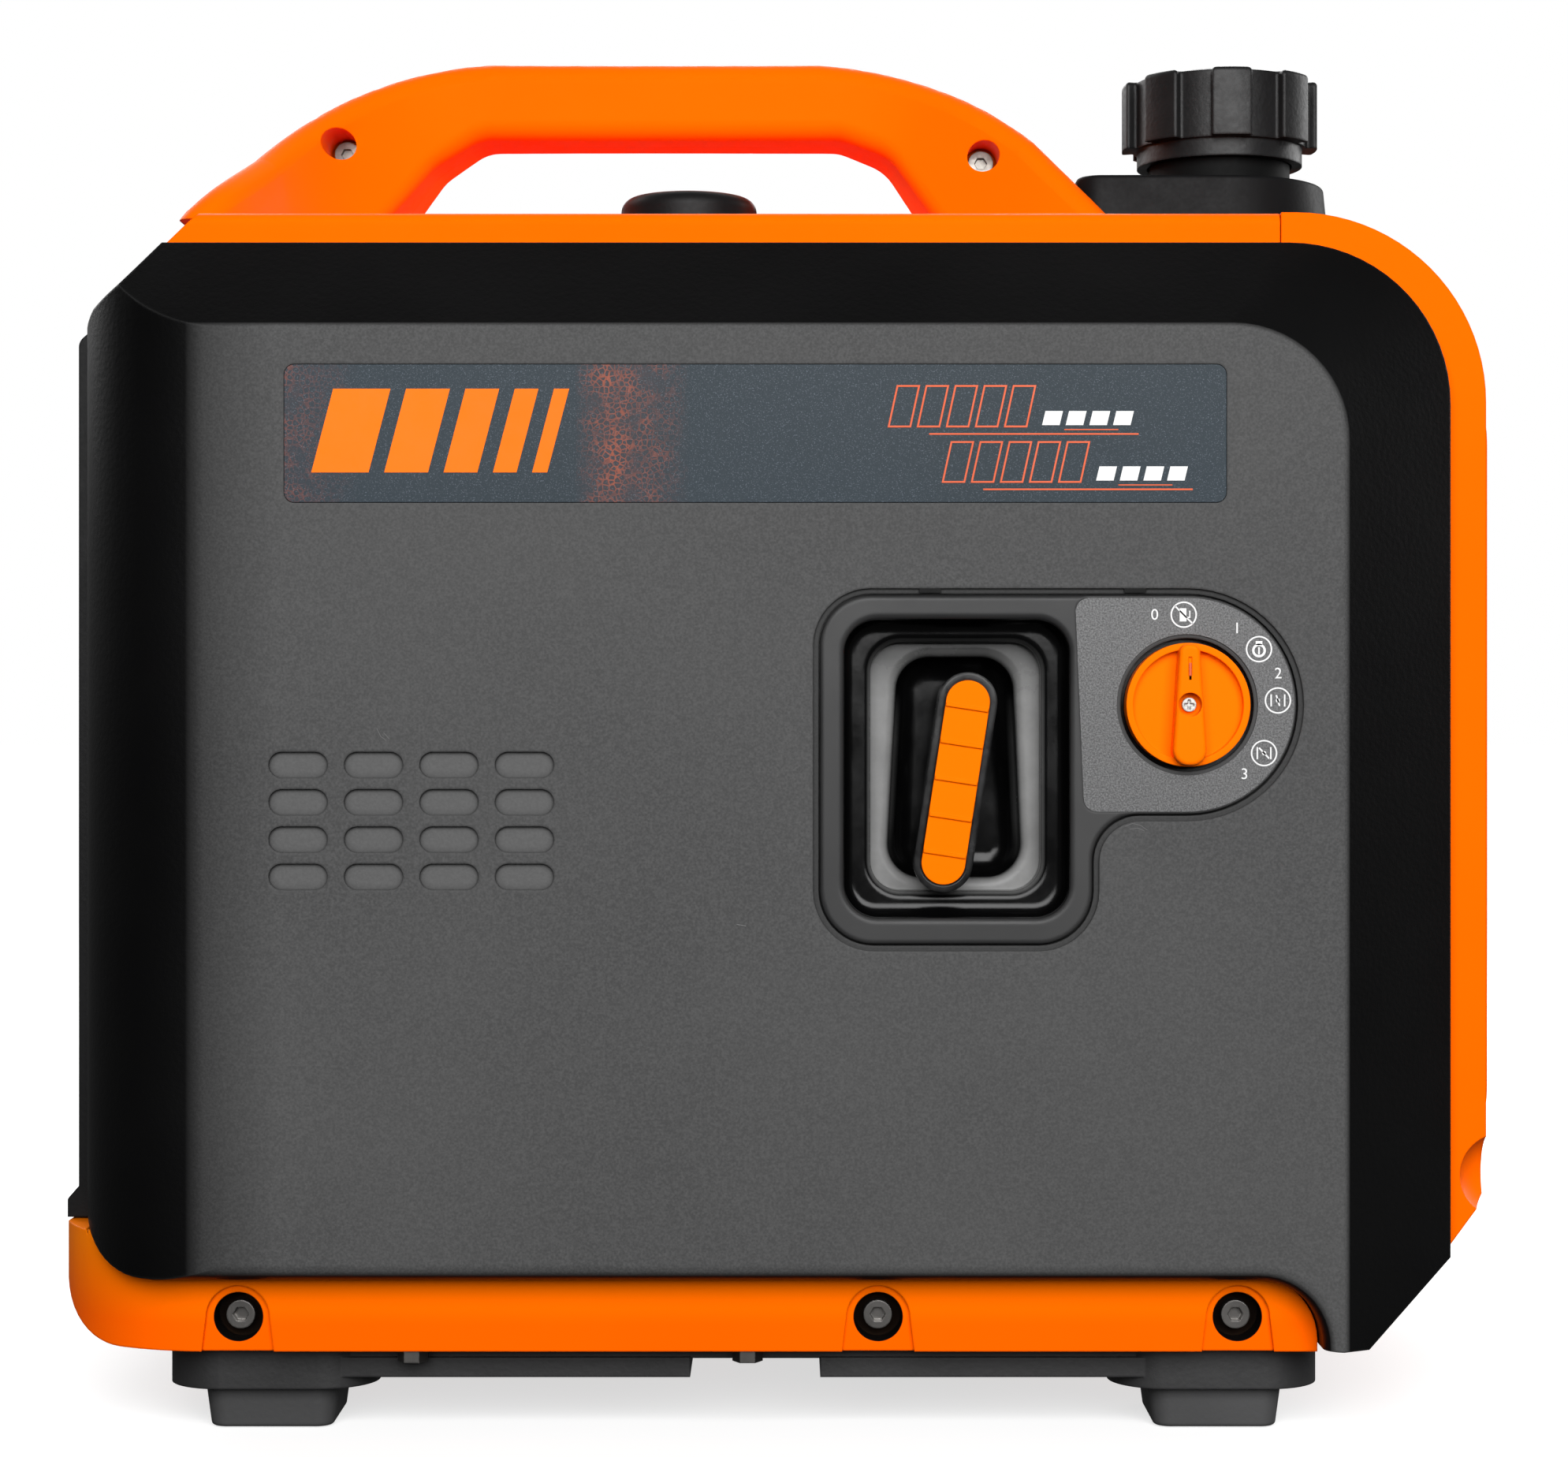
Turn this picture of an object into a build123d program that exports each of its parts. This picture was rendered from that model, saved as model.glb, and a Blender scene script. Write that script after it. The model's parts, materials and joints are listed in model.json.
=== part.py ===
"""Portable inverter generator: a closed case on four rubber feet, with its engine and alternator inside.

+X is the exhaust end (rear), -X the control panel (front), -Y the starter side and +Y the service side.
The origin is on the ground, under the middle of the case. All sizes are millimetres.
"""

from build123d import *
import os
from math import cos, pi, radians, sin, tan

# ---------------------------------------------------------------- driving dimensions
LENGTH = 450.0  # front bumper to exhaust surround
COVER_WIDTH = 290.0  # over the flat faces of the two side covers
DECK_Z = 373.0  # top deck
HANDLE_TOP = 436.5  # top of the carrying handle
SKIN = 2.5  # wall of every moulded shell
GAP = 0.4  # clearance between neighbouring mouldings

REAR_X = LENGTH / 2
FRAME_X = 217.0  # rear face of the rear frame
FRONT_X = -LENGTH / 2
FACE_Y = COVER_WIDTH / 2  # flat face of a side cover
BEVEL_Y = 118.0  # where the cover's bevel ends
CORE_Y = 112.0  # half width of the deck and the rear frame
WRAP_Y = 92.0  # where the covers end at the front corners

COVER_TOP = 361.0
COVER_BOTTOM = 49.0
COVER_FRONT = -216.0
COVER_REAR = 203.0
FLAT_TOP = 332.0  # flat face of the side cover
FLAT_REAR = 166.0

BASE_Y = 132.0  # half width of the orange base
BASE_Z = 26.0  # underside of the base
FOOT_Z = 12.6  # height of a rubber foot

# crankshaft axis, which runs along Y
CRANK_X, CRANK_Z = 20.0, 152.0
CYLINDER_TILT = 20.0  # degrees from upright, leaning to the front

# starter recess and dial
GRIP_X, GRIP_Z = 51.0, 197.0
DIAL_X, DIAL_Z = 119.5, 220.0
LOBE_R = 32.5
BEZEL_Y = -144.6  # front face of the bezel

# fuel filler
FILLER_X = 148.4
CAP_R = 33.0
PLUG_CAP_X, PLUG_CAP_Y = -30.6, -60.0

os.makedirs("parts", exist_ok=True)
nodes = {}


# ---------------------------------------------------------------- helpers
def box(x0, x1, y0, y1, z0, z1):
    """A block between two corners."""
    return Pos((x0 + x1) / 2, (y0 + y1) / 2, (z0 + z1) / 2) * Box(x1 - x0, y1 - y0, z1 - z0)


def outline(*corners):
    """A closed face through (u, v, radius) corners; a radius of 0 keeps a corner sharp."""
    edges, count, joins = [], len(corners), []
    for i, (u, v, r) in enumerate(corners):
        before, after = corners[i - 1], corners[(i + 1) % count]
        here = Vector(u, v)
        back = (Vector(before[0], before[1]) - here).normalized()
        on = (Vector(after[0], after[1]) - here).normalized()
        if r <= 0:
            joins.append((here, here, None))
            continue
        half = radians(back.get_angle(on)) / 2
        reach = r / tan(half)
        middle = here + (back + on).normalized() * (r / sin(half) - r)
        joins.append((here + back * reach, here + on * reach, middle))
    for i, (start, end, middle) in enumerate(joins):
        last = joins[i - 1][1]
        if (start - last).length > 1e-6:
            edges.append(Edge.make_line(last, start))
        if middle is not None:
            edges.append(Edge.make_three_point_arc(start, middle, end))
    return Face(Wire(edges))


def along_y(sketch, y0, y1):
    """Extrudes a sketch drawn in X and Z from y0 to y1."""
    plane = Plane(origin=(0, y1, 0), x_dir=(1, 0, 0), z_dir=(0, -1, 0))
    return extrude(plane * sketch, amount=y1 - y0, dir=(0, -1, 0))


def along_x(sketch, x0, x1):
    """Extrudes a sketch drawn in Y and Z from x0 to x1."""
    plane = Plane(origin=(x0, 0, 0), x_dir=(0, 1, 0), z_dir=(1, 0, 0))
    return extrude(plane * sketch, amount=x1 - x0, dir=(1, 0, 0))


def along_z(sketch, z0, z1):
    """Extrudes a sketch drawn in X and Y from z0 to z1."""
    return extrude(Pos(0, 0, z0) * sketch, amount=z1 - z0, dir=(0, 0, 1))


def rounded(u0, u1, v0, v1, r):
    """A rounded rectangle between two corners, for the extrusions above."""
    return outline((u0, v0, r), (u1, v0, r), (u1, v1, r), (u0, v1, r))


def rod(x, y0, y1, z, r):
    """A round bar along Y."""
    return Pos(x, (y0 + y1) / 2, z) * Rot(90, 0, 0) * Cylinder(r, abs(y1 - y0))


def bar_x(x0, x1, y, z, r):
    """A round bar along X."""
    return Pos((x0 + x1) / 2, y, z) * Rot(0, 90, 0) * Cylinder(r, abs(x1 - x0))


def post(x, y, z0, z1, r):
    """A round bar along Z."""
    return Pos(x, y, (z0 + z1) / 2) * Cylinder(r, abs(z1 - z0))


def soften(shape, edges, radius):
    """Fillets the edges, and halves the radius until the shape takes it."""
    for _ in range(3):
        try:
            softened = fillet(edges, radius)
            if softened.is_valid and softened.volume > 0:
                return softened
        except Exception:
            pass
        radius /= 2
    print("left sharp:", len(edges), "edges")
    return shape


def keep(name, *shapes):
    """Stores a named node as one or more solids."""
    solids = [solid for shape in shapes for solid in shape.solids()]
    nodes[name] = Compound(solids) if len(solids) > 1 else solids[0]


# ---------------------------------------------------------------- case: side covers
def cover_edge(inset):
    """Silhouette of a side cover, drawn in X and Z."""
    g = inset
    return outline(
        (COVER_FRONT + g, 335 - g, 0),
        (-189.5 + 0.4 * g, COVER_TOP - g, 0),
        (COVER_REAR - g, COVER_TOP - g, 49 - g),
        (COVER_REAR - g, 52 + 0.4 * g, 0),
        (174.5 - 0.4 * g, 27.8 + g, 0),
        (160.5 + g, 28.3 + g, 0),
        (160.5 + g, COVER_BOTTOM + g, 19.5 + g),
        (COVER_FRONT + g, COVER_BOTTOM + g, 24 - g),
    )


def cover_dome(inset):
    """The bevelled slab of a side cover: its silhouette at the shoulder shrinks to the flat face."""
    g = inset
    outer = outline(
        (COVER_FRONT + g, 335 - g, 0),
        (-189.5 + 0.4 * g, COVER_TOP - g, 0),
        (COVER_REAR - g, COVER_TOP - g, 49 - g),
        (COVER_REAR - g, 10, 0),
        (COVER_FRONT + g, 10, 0),
    )
    flat = outline(
        (COVER_FRONT + g, 329 - g, 0),
        (-210 + 0.4 * g, FLAT_TOP - g, 0),
        (FLAT_REAR - g, FLAT_TOP - g, 34 - g),
        (FLAT_REAR - g, 10, 0),
        (COVER_FRONT + g, 10, 0),
    )
    face = Plane(origin=(0, -FACE_Y + g, 0), x_dir=(1, 0, 0), z_dir=(0, -1, 0))
    shoulder = Plane(origin=(0, -BEVEL_Y + g, 0), x_dir=(1, 0, 0), z_dir=(0, -1, 0))
    return loft([shoulder * outer, face * flat], ruled=True)


def cover_block(inset):
    """The solid of a side cover on the -Y side, pulled in by inset."""
    face, bevel = -FACE_Y + inset, -BEVEL_Y + inset
    dome = cover_dome(inset) & along_y(cover_edge(inset), face - 1, bevel)
    if inset == 0:
        flat = dome.faces().sort_by(Axis.Y)[0]
        rims = [e for e in flat.edges() if e.center().Z < COVER_BOTTOM + 4 and e.bounding_box().max.X < 160.6]
        dome = soften(dome, rims, 5)
    skirt = along_y(cover_edge(inset), bevel, -WRAP_Y + 10)
    corner = 50 - inset
    plan = outline(
        (COVER_FRONT + inset, face, corner),
        (REAR_X, face, 0),
        (REAR_X, -WRAP_Y + 10, 0),
        (COVER_FRONT + inset, -WRAP_Y + 10, 0),
    )
    return (dome + skirt) & along_z(plan, 0, COVER_TOP + 9)


def cover_shell():
    """One side cover as a shell on the -Y side, open towards the machine."""
    shell = cover_block(0) - cover_block(SKIN)
    shell -= box(-178, REAR_X + 5, -CORE_Y, 0, 0, 400)
    return shell - box(COVER_FRONT - 5, -178, -WRAP_Y, 0, 0, 400)


def bezel_face(grow):
    """Outline of the starter bezel: a rounded rectangle with a round lobe for the dial."""
    g = grow
    low, high = DIAL_Z - LOBE_R, DIAL_Z + LOBE_R
    lobe = LOBE_R + g - 0.01
    return outline(
        (10.6 - g, 149 - g, 16 + g),
        (91.4 + g, 149 - g, 16 + g),
        (91.4 + g, low - g, 14 - g),
        (DIAL_X + LOBE_R + g, low - g, lobe),
        (DIAL_X + LOBE_R + g, high + g, lobe),
        (10.6 - g, high + g, 15 + g),
    )


VENT_X, VENT_Z = -143.9, 202.2
VENT_PITCH_X, VENT_PITCH_Z = 22.35, 11.05
VENT_W, VENT_H = 17.6, 7.8
NAME_PLATE = (-148.0, 131.0, 280.0, 320.8)


def starter_side_cover():
    """The starter-side cover: bezel opening, four rows of blind vents and a sunk bed for the name plate."""
    cover = cover_shell()
    cover -= along_y(bezel_face(GAP), -FACE_Y - 5, -FACE_Y + 10)
    rim = along_y(bezel_face(GAP + 1.6), -FACE_Y - 1, -FACE_Y + 0.9)
    cover -= rim
    for row in range(4):
        for column in range(4):
            u, v = VENT_X + column * VENT_PITCH_X, VENT_Z - row * VENT_PITCH_Z
            pill = rounded(u - VENT_W / 2, u + VENT_W / 2, v - VENT_H / 2, v + VENT_H / 2, VENT_H / 2 - 0.01)
            cover -= along_y(pill, -FACE_Y - 1, -FACE_Y + 1.3)
    x0, x1, z0, z1 = NAME_PLATE
    cover -= along_y(rounded(x0 - 0.2, x1 + 0.2, z0 - 0.2, z1 + 0.2, 3.2), -FACE_Y - 1, -FACE_Y + 0.4)
    keep("side_cover_starter", cover)
    keep("name_plate", along_y(rounded(x0, x1, z0, z1, 3), -FACE_Y - 0.1, -FACE_Y + 0.4))


DOOR = (-96.0, 104.0, 86.0, 296.0)


def service_side_cover():
    """The service-side cover: a large opening for the maintenance door, with a ledge that backs the door."""
    cover = cover_shell()
    x0, x1, z0, z1 = DOOR
    cover -= along_y(rounded(x0 - GAP, x1 + GAP, z0 - GAP, z1 + GAP, 14 + GAP), -FACE_Y - 5, -FACE_Y + 10)
    ledge = along_y(rounded(x0 - 6, x1 + 6, z0 - 6, z1 + 6, 18), -FACE_Y + SKIN, -FACE_Y + SKIN + 3.5)
    ledge -= along_y(rounded(x0 + 7, x1 - 7, z0 + 7, z1 - 7, 8), -FACE_Y, -FACE_Y + 12)
    ledge -= along_y(rounded(x0 - GAP, x1 + GAP, z0 - GAP, z1 + GAP, 14 + GAP), -FACE_Y, -FACE_Y + SKIN + 1)
    keep("side_cover_service", mirror(cover + ledge, Plane.XZ))


# ---------------------------------------------------------------- case: maintenance door
LATCH_X, LATCH_Z = 4.0, 282.0


def service_door():
    """The maintenance door with air louvres, and its quarter-turn latch; it lifts straight off along +Y."""
    x0, x1, z0, z1 = DOOR
    face = FACE_Y
    door = along_y(rounded(x0, x1, z0, z1, 14), face - SKIN, face)
    door = soften(door, door.faces().sort_by(Axis.Y)[-1].edges(), 0.8)
    for i in range(9):
        z = z0 + 22 + i * 11
        slot = rounded(-76, 84, z, z + 5, 2.4)
        door -= along_y(slot, face - 5, face + 1)
    frame = along_y(rounded(x0 + 14, x1 - 14, z0 + 14, z0 + 126, 8), face - 0.01, face + 1.6)
    frame -= along_y(rounded(x0 + 17, x1 - 17, z0 + 17, z0 + 123, 6), face - 1, face + 5)
    dish = rod(LATCH_X, face - 1.2, face + 1, LATCH_Z, 12.0)
    door = door + frame - dish - rod(LATCH_X, face - 6, face + 6, LATCH_Z, 5.05)
    keep("service_door", door)
    knob = rod(LATCH_X, face - 0.9, face + 2.0, LATCH_Z, 10.5)
    wing = box(LATCH_X - 2.6, LATCH_X + 2.6, face + 1.9, face + 7.0, LATCH_Z - 9, LATCH_Z + 9)
    stem = rod(LATCH_X, face - 7, face - 0.8, LATCH_Z, 5.0)
    tongue = box(LATCH_X - 5, LATCH_X + 17, face - 9.3, face - 6.3, LATCH_Z - 4, LATCH_Z + 4)
    keep("door_latch", knob + wing + stem + tongue)


# ---------------------------------------------------------------- case: top cover and handle
def handle_profile():
    """Handle seen from the side: a long arch whose front leg is steeper than its rear leg."""
    arch = Wire(
        [
            Edge.make_line((-194, 368), (-172.5, 394.5)),
            Edge.make_three_point_arc((-172.5, 394.5), (-141, 424), (-98, HANDLE_TOP)),
            Edge.make_line((-98, HANDLE_TOP), (12, HANDLE_TOP)),
            Edge.make_three_point_arc((12, HANDLE_TOP), (50, 427.6), (83, 406.5)),
            Edge.make_line((83, 406.5), (118.5, 368)),
            Edge.make_line((118.5, 368), (-194, 368)),
        ]
    )
    opening = outline(
        (-150, 360, 0), (-117, 401.5, 14), (-102, 411.2, 14), (19, 411.2, 14), (35, 405, 16), (66, 360, 0)
    )
    return Face(arch) - opening


def handle_plan():
    """Handle seen from above: narrow at the grip and flared towards both legs."""
    half = [(-190, 96), (-176, 86), (-160, 56), (-140, 33), (-112, 20), (-90, 18)]
    half += [(10, 18), (34, 20), (60, 30), (85, 41), (122, 52)]
    near = Edge.make_spline([(x, -y) for x, y in half])
    far = Edge.make_spline([(x, y) for x, y in reversed(half)])
    ends = [Edge.make_line((122, -52), (122, 52)), Edge.make_line((-190, 96), (-190, -96))]
    return Face(Wire([near, ends[0], far, ends[1]]))


def handle_solid():
    """The handle with both of its long outlines rounded, cut off just under the deck's surface."""
    arch = along_y(handle_profile(), -110, 110) & along_z(handle_plan(), 360, 450)
    rims = []
    for side in arch.faces().filter_by(GeomType.EXTRUSION):
        for edge in side.edges():
            known = any((edge.center() - other.center()).length < 1e-3 for other in rims)
            if edge.bounding_box().max.Z > 369 and not known:
                rims.append(edge)
    return soften(arch, rims, 6.0) & box(-300, 300, -CORE_Y, CORE_Y, DECK_Z - 0.5, 450)


SPARK_HOLE_R = 19.0
HANDLE_SCREWS = ((-146.5, 405.5), (66.0, 402.5))
DECK_END = 152.0
PLATEAU_Y = 78.0  # half width of the raised middle of the deck
EDGE_DROP = 1.8  # how far its borders lie below it


def deck_block(inset):
    """The top deck as a solid: sloped at the front, with soft long edges."""
    g = inset
    low, high, half = COVER_TOP, DECK_Z - g, CORE_Y - g
    side = outline((-190 + g, low, 0), (-177.6 + g, high, 3), (DECK_END, high, 0), (DECK_END, low, 0))
    step = high - EDGE_DROP
    section = outline(
        (-half, low, 0),
        (half, low, 0),
        (half, step, 3.5),
        (PLATEAU_Y + 2, step, 0),
        (PLATEAU_Y, high, 0.6),
        (-PLATEAU_Y, high, 0.6),
        (-PLATEAU_Y - 2, step, 0),
        (-half, step, 3.5),
    )
    return along_y(side, -CORE_Y, CORE_Y) & along_x(section, -200, DECK_END)


def top_cover():
    """Deck and handle: two halves that meet on the centre plane and are screwed through both legs."""
    deck = deck_block(0) - (deck_block(SKIN) & box(-300, DECK_END - SKIN, -200, 200, 0, 400))
    whole = deck + handle_solid()
    whole -= post(PLUG_CAP_X, PLUG_CAP_Y, 350, 380, SPARK_HOLE_R)
    whole -= along_z(shroud_outline(0.6), 340, DECK_Z + 0.1)
    whole -= along_z(shroud_outline(3.0), DECK_Z, 420)
    for half, sign in (("top_cover_near", -1), ("top_cover_far", 1)):
        side = box(-300, 300, min(0, sign * 200), max(0, sign * 200), 300, 500)
        part = whole & side
        for x, z in HANDLE_SCREWS:
            if sign < 0:
                part -= rod(x, -150, -14, z, 5.2)
                part -= rod(x, -20, 1, z, 2.3)
            else:
                part -= rod(x, -1, 16, z, 1.8)
        keep(half, part)
    heads = [rod(x, -18, -14.1, z, 4.2) - hex_hole(x, -18, z) for x, z in HANDLE_SCREWS]
    shanks = [rod(x, -14.2, 15, z, 1.7) for x, z in HANDLE_SCREWS]
    return [head + shank for head, shank in zip(heads, shanks)]


def hex_hole(x, y, z):
    """A socket 2.4 mm deep for a hexagon key in a screw head that faces -Y."""
    return along_y(Pos(x, z) * RegularPolygon(2.1, 6), y - 0.1, y + 2.4)


# ---------------------------------------------------------------- case: filler shroud
def shroud_outline(grow):
    """Filler shroud seen from above: round at the rear end, square at the front."""
    g = grow
    wide, tight, half = 36 + g, 8 + g, 38 + g
    front, rear = 97 - g, 183 + g
    return outline((front, -half, tight), (rear, -half, wide), (rear, half, wide), (front, half, tight))


def filler_shroud():
    """The black collar that rises from the deck around the tank neck."""
    low = Pos(0, 0, DECK_Z + 0.2) * shroud_outline(2.2)
    high = Pos(0, 0, 395.5) * shroud_outline(0)
    shell = loft([low, high], ruled=True)
    shell = soften(shell, shell.faces().sort_by(Axis.Z)[-1].edges(), 1.5)
    shell += along_z(shroud_outline(0), 366, DECK_Z + 0.2)
    shell -= along_z(shroud_outline(-3), 360, 392.5)
    keep("filler_shroud", shell - post(FILLER_X, 0, 380, 400, 25.5))


# ---------------------------------------------------------------- case: rear frame and grille
def rear_contour(g):
    """Silhouette of the rear frame, drawn in X and Z and pulled in by g."""
    return outline(
        (120, DECK_Z - g, 0),
        (FRAME_X - g, DECK_Z - g, 60 - g),
        (FRAME_X - g, 69 + 0.4 * g, 0),
        (202 - 0.4 * g, 49 + g, 0),
        (202 - 0.4 * g, 47.2 + g, 0),
        (120, 47.2 + g, 0),
    )


GRILLE = (-86.0, 86.0, 92.0, 311.0)
PORT_Y, PORT_Z, PORT_R = 42.0, 122.0, 11.0


def rear_frame():
    """The orange rear frame with the raised edge round its grille, and the screws that hold the grille."""
    shell = along_y(rear_contour(EDGE_DROP), -111.6, 111.6) + along_y(rear_contour(0), -PLATEAU_Y, PLATEAU_Y)
    shell -= along_y(rear_contour(SKIN + EDGE_DROP), -109.1, 109.1)
    near_corner = box(196, FRAME_X - EDGE_DROP, -111.6, -94, 62, 92)
    shell += near_corner & along_y(rear_contour(EDGE_DROP), -111.6, -94)
    far_corner = box(196, FRAME_X - EDGE_DROP, 94, 111.6, 62, 92)
    shell += far_corner & along_y(rear_contour(EDGE_DROP), 94, 111.6)
    for y in (-117, 117):
        shell -= Pos(FRAME_X + 3, y, 76) * Sphere(14)
    shell &= box(DECK_END + GAP, 230, -120, 120, 296, 380) + box(190, 230, -120, 120, 40, 297)
    y0, y1, z0, z1 = GRILLE
    lip = along_x(rounded(y0 - 5, y1 + 5, z0 - 5, z1 + 5, 15), FRAME_X - 4.2, FRAME_X + 3)
    shell = shell + lip - along_x(rounded(y0, y1, z0, z1, 10), 180, 240)
    shell -= along_z(shroud_outline(0.6), 340, 380)
    keep("rear_frame", shell)
    plate = along_x(rounded(y0 - 4, y1 + 4, z0 - 4, z1 + 4, 12), FRAME_X - 7.8, FRAME_X - 4.4)
    plate += along_x(rounded(y0 + 0.4, y1 - 0.4, z0 + 0.4, z1 - 0.4, 9.6), FRAME_X - 4.5, FRAME_X - 1.5)
    blades = []
    for i in range(13):
        z = z0 + 21 + i * 15.4
        plate -= along_x(rounded(y0 + 12, y1 - 12, z - 4.6, z + 4.6, 2), 205, 225)
        blades.append(Pos(FRAME_X - 5, 0, z) * Rot(0, 32, 0) * Box(2.2, y1 - y0 - 25, 13))
    for blade in blades:
        plate += blade & box(FRAME_X - 7.5, FRAME_X - 0.5, -90, 90, 60, 330)
    plate += bar_x(FRAME_X - 7.5, FRAME_X + 1, PORT_Y, PORT_Z, 23)
    plate += bar_x(FRAME_X, REAR_X, PORT_Y, PORT_Z, 20)
    keep("rear_grille", plate - bar_x(200, 230, PORT_Y, PORT_Z, 16.4))
    corners = [(y, z) for y in (y0 + 5.5, y1 - 5.5) for z in (z0 + 8, z1 - 8)]
    heads = [
        bar_x(FRAME_X - 1.5, FRAME_X + 0.4, y, z, 3.6) - cross_slot(FRAME_X + 0.4, y, z, 1)
        for y, z in corners
    ]
    return heads


def cross_slot(x, y, z, sign):
    """A cross recess 1.2 mm deep in a screw head that faces +X (sign 1) or -X (sign -1)."""
    depth = 1.2
    first = Pos(x - sign * depth / 2, y, z) * Box(depth + 0.1, 4.4, 0.9)
    second = Pos(x - sign * depth / 2, y, z) * Box(depth + 0.1, 0.9, 4.4)
    return first + second


# ---------------------------------------------------------------- case: base pan, skids and feet
BOLTS_X = (-164.0, 28.3, 136.3)
BOLT_Z = 36.2
FEET_X = (-156.5, 131.7)


def base_pan():
    """The orange base tray with its bumper, its bolt recesses and the bolts in them."""
    side = outline(
        (FRONT_X, 59.7, 3), (FRONT_X, BASE_Z, 24), (176, BASE_Z, 3), (200, 46.6, 0), (200, 59.7, 0)
    )
    inner = outline((-213, 80, 0), (-213, 28.5, 20), (174, 28.5, 2), (192, 44, 0), (192, 80, 0))
    plan = outline((FRONT_X, -BASE_Y, 52), (200, -BASE_Y, 0), (200, BASE_Y, 0), (FRONT_X, BASE_Y, 52))
    plan_in = outline(
        (-213, -BASE_Y + 3, 44), (192, -BASE_Y + 3, 0), (192, BASE_Y - 3, 0), (-213, BASE_Y - 3, 44)
    )
    pan = along_y(side, -BASE_Y, BASE_Y) & along_z(plan, 0, 80)
    pan -= along_y(inner, -BASE_Y, BASE_Y) & along_z(plan_in, 0, 80)
    pan -= along_y(cover_edge(-GAP), -200, -CORE_Y + GAP) + along_y(cover_edge(-GAP), CORE_Y - GAP, 200)
    above = outline((-216.4, 46.6, 24), (230, 46.6, 0), (230, 90, 0), (-216.4, 90, 0))
    pan -= along_y(above, -CORE_Y - 1, CORE_Y + 1)
    for sign in (-1, 1):
        pan -= box(160.1, 230, *sorted((sign * (CORE_Y - GAP), sign * 200)), 0, 90)
    bolts = []
    for sign in (-1, 1):
        face = sign * BASE_Y
        for x in BOLTS_X:
            pan += rod(x, face - sign * 13, face - sign * 1.6, BOLT_Z, 9.2)
            pan -= rod(x, face - sign * 10.5, face + sign, BOLT_Z, 7.3)
            pan -= rod(x, face - sign * 20, face, BOLT_Z, 3.05)
            pad = rod(x, face - sign * 1.6, face + sign, BOLT_Z, 9.6)
            wedge = outline((x - 9.6, BOLT_Z, 0), (x - 11.6, 20, 0), (x + 11.6, 20, 0), (x + 9.6, BOLT_Z, 0))
            pad += along_y(wedge, *sorted((face - sign * 1.6, face + sign)))
            pan -= pad
            head = rod(x, face - sign * 10.5, face - sign * 5.5, BOLT_Z, 4.3)
            head -= along_y(Pos(x, BOLT_Z) * RegularPolygon(2.3, 6), *sorted((face - sign * 7.7, face)))
            bolts.append(head + rod(x, face - sign * 20, face - sign * 10.4, BOLT_Z, 3.0))
    keep("base_pan", pan)
    return bolts


def skids_and_feet():
    """A skid under each long side of the base, with two rubber feet each."""
    skids, feet = [], []
    for sign in (-1, 1):
        y0, y1 = sorted((sign * 122, sign * 74))
        skid = box(-150, 140, y0 + 3, y1 - 3, 21.5, BASE_Z - 0.1)
        skid += box(-150, -28.5, y0 + 1.5, y1 - 1.5, 16, 22) + box(11, 140, y0 + 1.5, y1 - 1.5, 16, 22)
        for x in FEET_X:
            skid += along_z(rounded(x - 32, x + 32, y0, y1, 17), FOOT_Z, BASE_Z - 0.1)
        skid &= box(-188.5, 163.7, y0, y1, 0, 40)
        skid -= box(-117, -31.5, y0 + 5, y1 - 5, 10, 23) + box(14, 93, y0 + 5, y1 - 5, 10, 23)
        skids.append(skid)
        for x in FEET_X:
            middle = sign * 98
            top = Pos(x, middle, FOOT_Z) * RectangleRounded(41, 40, 7)
            bottom = Pos(x, middle, 0) * RectangleRounded(37.4, 37, 5)
            foot = loft([bottom, top], ruled=True)
            foot = soften(foot, foot.faces().sort_by(Axis.Z)[0].edges(), 1.2)
            feet.append(foot)
    keep("skids", *skids)
    keep("rubber_feet", *feet)


def engine_cradle():
    """Steel plate under the tray, the nuts on it, four rubber mounts and the steel cradle they carry."""
    plate = box(-128, 104, -68, 68, BASE_Z - 2.6, BASE_Z - 0.1)
    for x in (-100, -60, -20, 60, 90):
        plate -= along_z(rounded(x - 12, x + 12, -46, 46, 8), 20, 30)
    spots = [(x, y) for x in (-112.0, -11.0) for y in (-126.5, 126.5)]
    nuts = [along_z(Pos(x, y) * (RegularPolygon(4.6, 6) - Circle(2.5)), 22.2, BASE_Z) for x, y in spots]
    mounts = []
    for x in (-28.0, 72.0):
        for y in (-44.0, 40.0):
            mount = post(x, y, 28.5, 48, 13) - post(x, y, 35, 42, 16) + post(x, y, 34, 43, 10)
            mounts.append(mount)
    cradle = box(-46, 90, -58, 58, 48, 51) - box(-12, 56, -40, 36, 47, 52)
    cradle += box(-46, -43, -58, 58, 50, 58) + box(87, 90, -58, 58, 50, 58)
    keep("engine_cradle", cradle, plate, *mounts)
    return nuts


# ---------------------------------------------------------------- control panel
PANEL_X = -217.9
SOCKET_Z = 195.6


def front_frame():
    """The black surround of the control panel, with a cowl over it."""
    top, low = 360.6, 60.3
    outer_side = [(-220.5, 334, 4), (-220.5, 70, 0), (-224, 66, 1.5), (-224, low, 0)]
    shape = outline((-190, top, 0), *outer_side, (-178.6, low, 0), (-178.6, top, 0))
    floor = low + 2.5
    inner = outline((-187, 356, 0), (-217.9, 330, 3), (-217.9, floor, 0), (-170, floor, 0), (-170, 356, 0))
    frame = along_y(shape, -WRAP_Y + GAP, WRAP_Y - GAP)
    frame -= along_y(inner, -WRAP_Y + 3, WRAP_Y - 3)
    window = rounded(-76, 76, 92, 320, 9)
    keep("front_frame", frame - along_x(window, -230, -200))


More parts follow.
